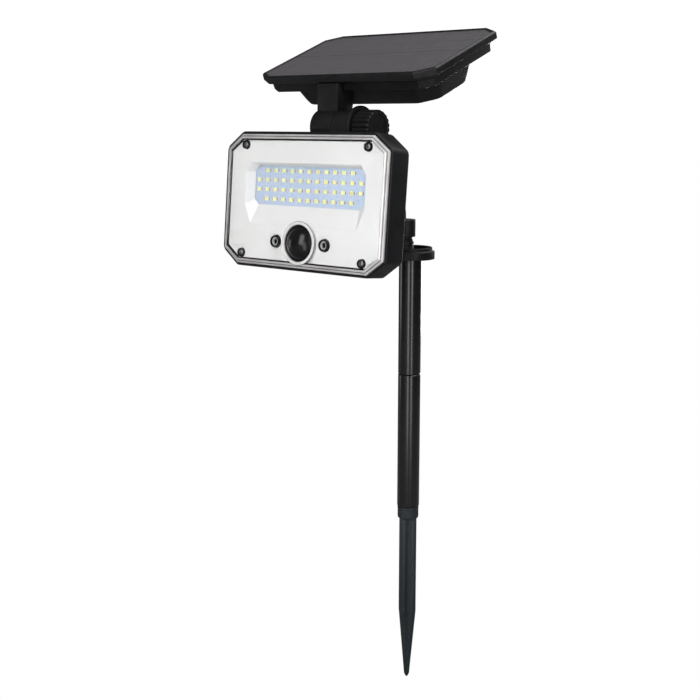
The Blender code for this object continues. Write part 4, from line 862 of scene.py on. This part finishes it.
def build_hinges():
    build_knob("panel_knob_detail", "panel_knob", "panel_knob", HINGE, start=0.0196, length=0.0151,
               radius=HINGE_R, depth=0.0010, ribs=20, face_r=0.0098)
    build_knob("tilt_knob_detail", "tilt_knob", "tilt_knob", TILT_PIVOT, start=0.0117, length=0.0090,
               radius=0.0080, depth=0.0009, ribs=12, face_r=0.0056)
    bolt = [(0, -0.0026), (0.0036, -0.0026), (0.0041, -0.0021), (0.0041, 0), (0.0024, 0), (0.0024, 0.0436),
            (0, 0.0436)]
    for name, node, body, centre, seat, length in (
            ("hinge_bolt_detail", "hinge_bolt", "panel", HINGE, -0.0161, 0.0436),
            ("tilt_bolt_detail", "tilt_bolt", "lamp", TILT_PIVOT, -0.0117, 0.0290)):
        profile = [(r, min(h, length)) for r, h in bolt]
        hexagon = [(0.0020 * math.cos(math.radians(60 * k)), 0.0020 * math.sin(math.radians(60 * k)))
                   for k in range(6)]
        socket = loft([lying(hexagon, -0.0030), lying(hexagon, -0.0011)])
        place = Matrix.Translation(centre + Vector((seat, 0, 0))) @ ALONG_X
        piece(name, revolved(profile, [0, 0.0003, 0.0003, 0.0001, 0, 0.0002, 0], 48), "zinc_steel", body,
              place=place, replaces=(node,), cuts=(socket,))


# ---------------------------------------------------------------- solar panel
def slab(inset, height, corner=0.0016):
    outline = octagon(PANEL_HALF_W, PANEL_HALF_D, 0.0132, 0.0093, inset)
    return lying(plan(outline, max(corner - inset, 0.0003)), height)


def build_panel():
    sections = [slab(0.0010, -0.0060), slab(0, -0.0052), slab(0, -0.0012), slab(0.0012, 0.0),
                slab(0.0023, 0.0), slab(0.0027, -0.0009), slab(0.0027, -0.0026)]
    frame_shape = loft(sections, [0, 0.0006, 0.0010, 0.0010, 0.0003, 0, 0], 5)
    piece("panel_frame_detail", frame_shape, "black_abs", "panel", place=PANEL, replaces=("panel_frame",))
    glass = [slab(0.0029, -0.0026), slab(0.0029, -0.0011), slab(0.0031, -0.0009)]
    piece("solar_laminate_detail", loft(glass), "solar_cells", "panel", place=PANEL,
          replaces=("solar_laminate",))
    gasket = [slab(0.0025, -0.0024), slab(0.0025, -0.0007), slab(0.0029, -0.0006), slab(0.0034, -0.00085),
              slab(0.0034, -0.0024)]
    piece("laminate_seal", loft(gasket, 0.0001, 2, closed=True), "rubber", "panel", place=PANEL)

    tray = [slab(0.0080, -0.0061), slab(TRAY_INSET, -0.0063), slab(0.0047, -0.0078), slab(0.0053, -0.0082),
            slab(0.0057, -0.0140), slab(0.0100, -0.0140)]
    piece("panel_tray_detail", loft(tray, [0, 0.0002, 0.0004, 0.0004, 0.0008, 0], 4), "black_abs", "panel",
          place=PANEL, replaces=("panel_tray",))

    def box_line(inset, height, corner):
        return lying(plan(octagon(0.0680 - inset, 0.0320 - inset, 0.0120, 0.0090), corner, 7), height)

    cover = [box_line(0.0080, -0.0138, 0.006), box_line(0.0, -0.0141, 0.009),
             box_line(0.0003, -0.0160, 0.009), box_line(0.0013, -0.0166, 0.0088),
             box_line(0.0058, -0.0300, 0.008), box_line(0.0110, -0.0300, 0.006)]
    well = [(0, -0.0320), (0.0033, -0.0320), (0.0029, -0.0290), (0.0029, -0.0180), (0, -0.0180)]
    wells = [moved(revolved(well, 0, 40), Matrix.Translation((sx * COVER_SCREW[0], sy * COVER_SCREW[1], 0)))
             for sx in SIDES for sy in SIDES]
    cover_shape = loft(cover, [0, 0.0002, 0.0004, 0.0005, 0.0030, 0], 5)
    piece("battery_cover_detail", cover_shape, "black_abs", "panel", place=PANEL, replaces=("battery_cover",),
          cuts=wells)
    pad_outer = [box_line(0.0150, z, 0.004) for z in (-0.0296, -0.0304)]
    pad_inner = [box_line(0.0162, z, 0.004) for z in (-0.0304, -0.0296)]
    piece("battery_cover_bead", loft(pad_outer + pad_inner, 0.0002, 2, closed=True), "black_abs", "panel",
          place=PANEL)


def build_panel_arm():
    centre = (HINGE_IN_PANEL.y, HINGE_IN_PANEL.z)
    on_hinge = Matrix.Translation((0, *centre)) @ ALONG_X
    front = -(PANEL_HALF_D - TRAY_INSET) - GAP
    outline = [(front - 0.0042, -0.0063), (front, -0.0063), (front, -0.0143), (-0.0329, -0.0143),
               (-0.0329, -0.0200)] + arc(centre, HINGE_R, 8, -271, 72)
    cuts = [moved(rod(BOLT_HOLE_R, -0.05, 0.05, 32), on_hinge),
            moved(rod(0.0045, -0.03, -0.0149, 40), on_hinge)]
    arm = loft([side_on(outline, -0.0193), side_on(outline, -0.00015)])
    piece("panel_arm_detail", arm, "black_abs", "panel", place=PANEL, replaces=("panel_arm",), cuts=cuts,
          bevel=(0.0006, 3))
    for i, start in enumerate((-0.0185, -0.0022), 1):
        band = [(0.0122, start), (0.0128, start + 0.0002), (0.0128, start + 0.0012), (0.0122, start + 0.0014)]
        piece(f"barrel_band_{i}", revolved(band, 0.0002, 96), "black_abs", "panel",
              place=Matrix.Translation(HINGE) @ ALONG_X)


def build_button():
    profile = [(0, -0.0022), (0.0025, -0.0022), (0.0025, -0.0011), (0.0050, -0.0011), (0.0050, 0.0016),
               (0.0042, 0.0024), (0.0030, 0.0023), (0, 0.0020)]
    place = LAMP @ Matrix.Translation((BUTTON[0], 0.0320, BUTTON[1])) @ ALONG_Y
    piece("mode_button_detail", revolved(profile, [0, 0, 0, 0.0002, 0.0005, 0.0006, 0.001, 0], 56), "rubber",
          "button", place=place, replaces=("mode_button",))


build_stake()
build_flange()
build_swivel()
build_housing()
build_lens()
build_reflector()
build_leds()
build_sensors()
build_screws()
build_hinges()
build_panel()
build_panel_arm()
build_button()

for entry in frame["record"]["subparts"]:
    node = frame["nodes"][entry["node"]]
    node.data.materials.clear()
    node.data.materials.append(MATERIALS[entry["material_slot"]])


# ---------------------------------------------------------------- floor, light and camera
FLOOR_R = 14.0
FLOOR_GREY = 0.22
BACKDROP_STRENGTH = 1.05
ROOM_STRENGTH = 0.12
TUBE_MIDDLE = (0, 0, 0.12)
LAMP_MIDDLE = (0, -0.06, 0.16)


def split_by_camera(tree, shown, seen, output):
    """The camera sees one shader, and every other ray, such as a reflection, sees the second."""
    path, mix, out = (tree.nodes.new(kind) for kind in ("ShaderNodeLightPath", "ShaderNodeMixShader", output))
    tree.links.new(path.outputs["Is Camera Ray"], mix.inputs["Fac"])
    tree.links.new(seen, mix.inputs[1])
    tree.links.new(shown, mix.inputs[2])
    tree.links.new(mix.outputs["Shader"], out.inputs["Surface"])


def build_floor():
    shape = bmesh.new()
    bmesh.ops.create_circle(shape, cap_ends=True, segments=96, radius=FLOOR_R)
    mesh = bpy.data.meshes.new("floor")
    shape.to_mesh(mesh)
    shape.free()
    floor = bpy.data.objects.new("floor", mesh)
    bpy.context.scene.collection.objects.link(floor)
    floor.location = (0, 0, SPIKE_TIP - 0.0002)
    finish = bpy.data.materials.new("floor")
    finish.use_nodes = True
    nodes = finish.node_tree.nodes
    nodes.clear()
    shown, seen = nodes.new("ShaderNodeEmission"), nodes.new("ShaderNodeBsdfDiffuse")
    shown.inputs["Color"].default_value = (1.0, 1.0, 1.0, 1)
    seen.inputs["Color"].default_value = (FLOOR_GREY, FLOOR_GREY, FLOOR_GREY, 1)
    split_by_camera(finish.node_tree, shown.outputs["Emission"], seen.outputs["BSDF"],
                    "ShaderNodeOutputMaterial")
    mesh.materials.append(finish)


def build_world():
    world = bpy.data.worlds.new("studio")
    world.use_nodes = True
    bpy.context.scene.world = world
    nodes = world.node_tree.nodes
    nodes.clear()
    shown, seen = nodes.new("ShaderNodeBackground"), nodes.new("ShaderNodeBackground")
    shown.inputs["Color"].default_value = (1, 1, 1, 1)
    shown.inputs["Strength"].default_value = BACKDROP_STRENGTH
    seen.inputs["Color"].default_value = (1.0, 0.99, 0.98, 1)
    seen.inputs["Strength"].default_value = ROOM_STRENGTH
    split_by_camera(world.node_tree, shown.outputs["Background"], seen.outputs["Background"],
                    "ShaderNodeOutputWorld")


def softbox(name, azimuth, elevation, distance, size, power, target=(0, -0.06, 0.20), colour=(1, 1, 1)):
    """An area light that faces the target. Azimuth 0 is in front of the lamp, and a positive one is to +X."""
    data = bpy.data.lights.new(name, "AREA")
    data.shape = "RECTANGLE"
    data.size, data.size_y = size
    data.energy = power
    data.color = colour
    light = bpy.data.objects.new(name, data)
    bpy.context.scene.collection.objects.link(light)
    a, e = math.radians(azimuth), math.radians(elevation)
    way = Vector((math.sin(a) * math.cos(e), -math.cos(a) * math.cos(e), math.sin(e)))
    light.location = Vector(target) + way * distance
    light.rotation_euler = way.to_track_quat("Z", "Y").to_euler()
    light.visible_camera = False


def build_camera():
    data = bpy.data.cameras.new("camera")
    data.sensor_width = 36.0
    data.lens = 61.714
    data.clip_end = 50.0
    camera = bpy.data.objects.new("camera", data)
    bpy.context.scene.collection.objects.link(camera)
    camera.location = (0.56801, -0.74225, 0.31493)
    camera.rotation_euler = (math.radians(79.187), 0, math.radians(40.315))
    bpy.context.scene.camera = camera


build_floor()
build_world()
softbox("key", 8, 26, 1.60, (0.60, 1.60), 26.3, colour=(1.0, 0.976, 0.94))
softbox("fill", 61, 24, 0.95, (0.20, 1.10), 2.2, colour=(0.98, 0.985, 1.0))
softbox("strip_left", 24, 0, 0.70, (0.15, 0.50), 1.25, target=TUBE_MIDDLE)
softbox("strip_right", 59, 0, 0.70, (0.13, 0.50), 1.1, target=TUBE_MIDDLE)
softbox("top", 150, 60, 1.6, (1.8, 1.2), 31.0)
softbox("rim", 170, 12, 1.3, (0.30, 0.80), 1.6)
softbox("back", 206, 0, 1.5, (0.45, 0.55), 8.0, target=LAMP_MIDDLE)
softbox("side", 290, 0, 1.5, (0.50, 0.60), 2.5, target=LAMP_MIDDLE)
build_camera()
bpy.context.scene.view_settings.view_transform = "Standard"
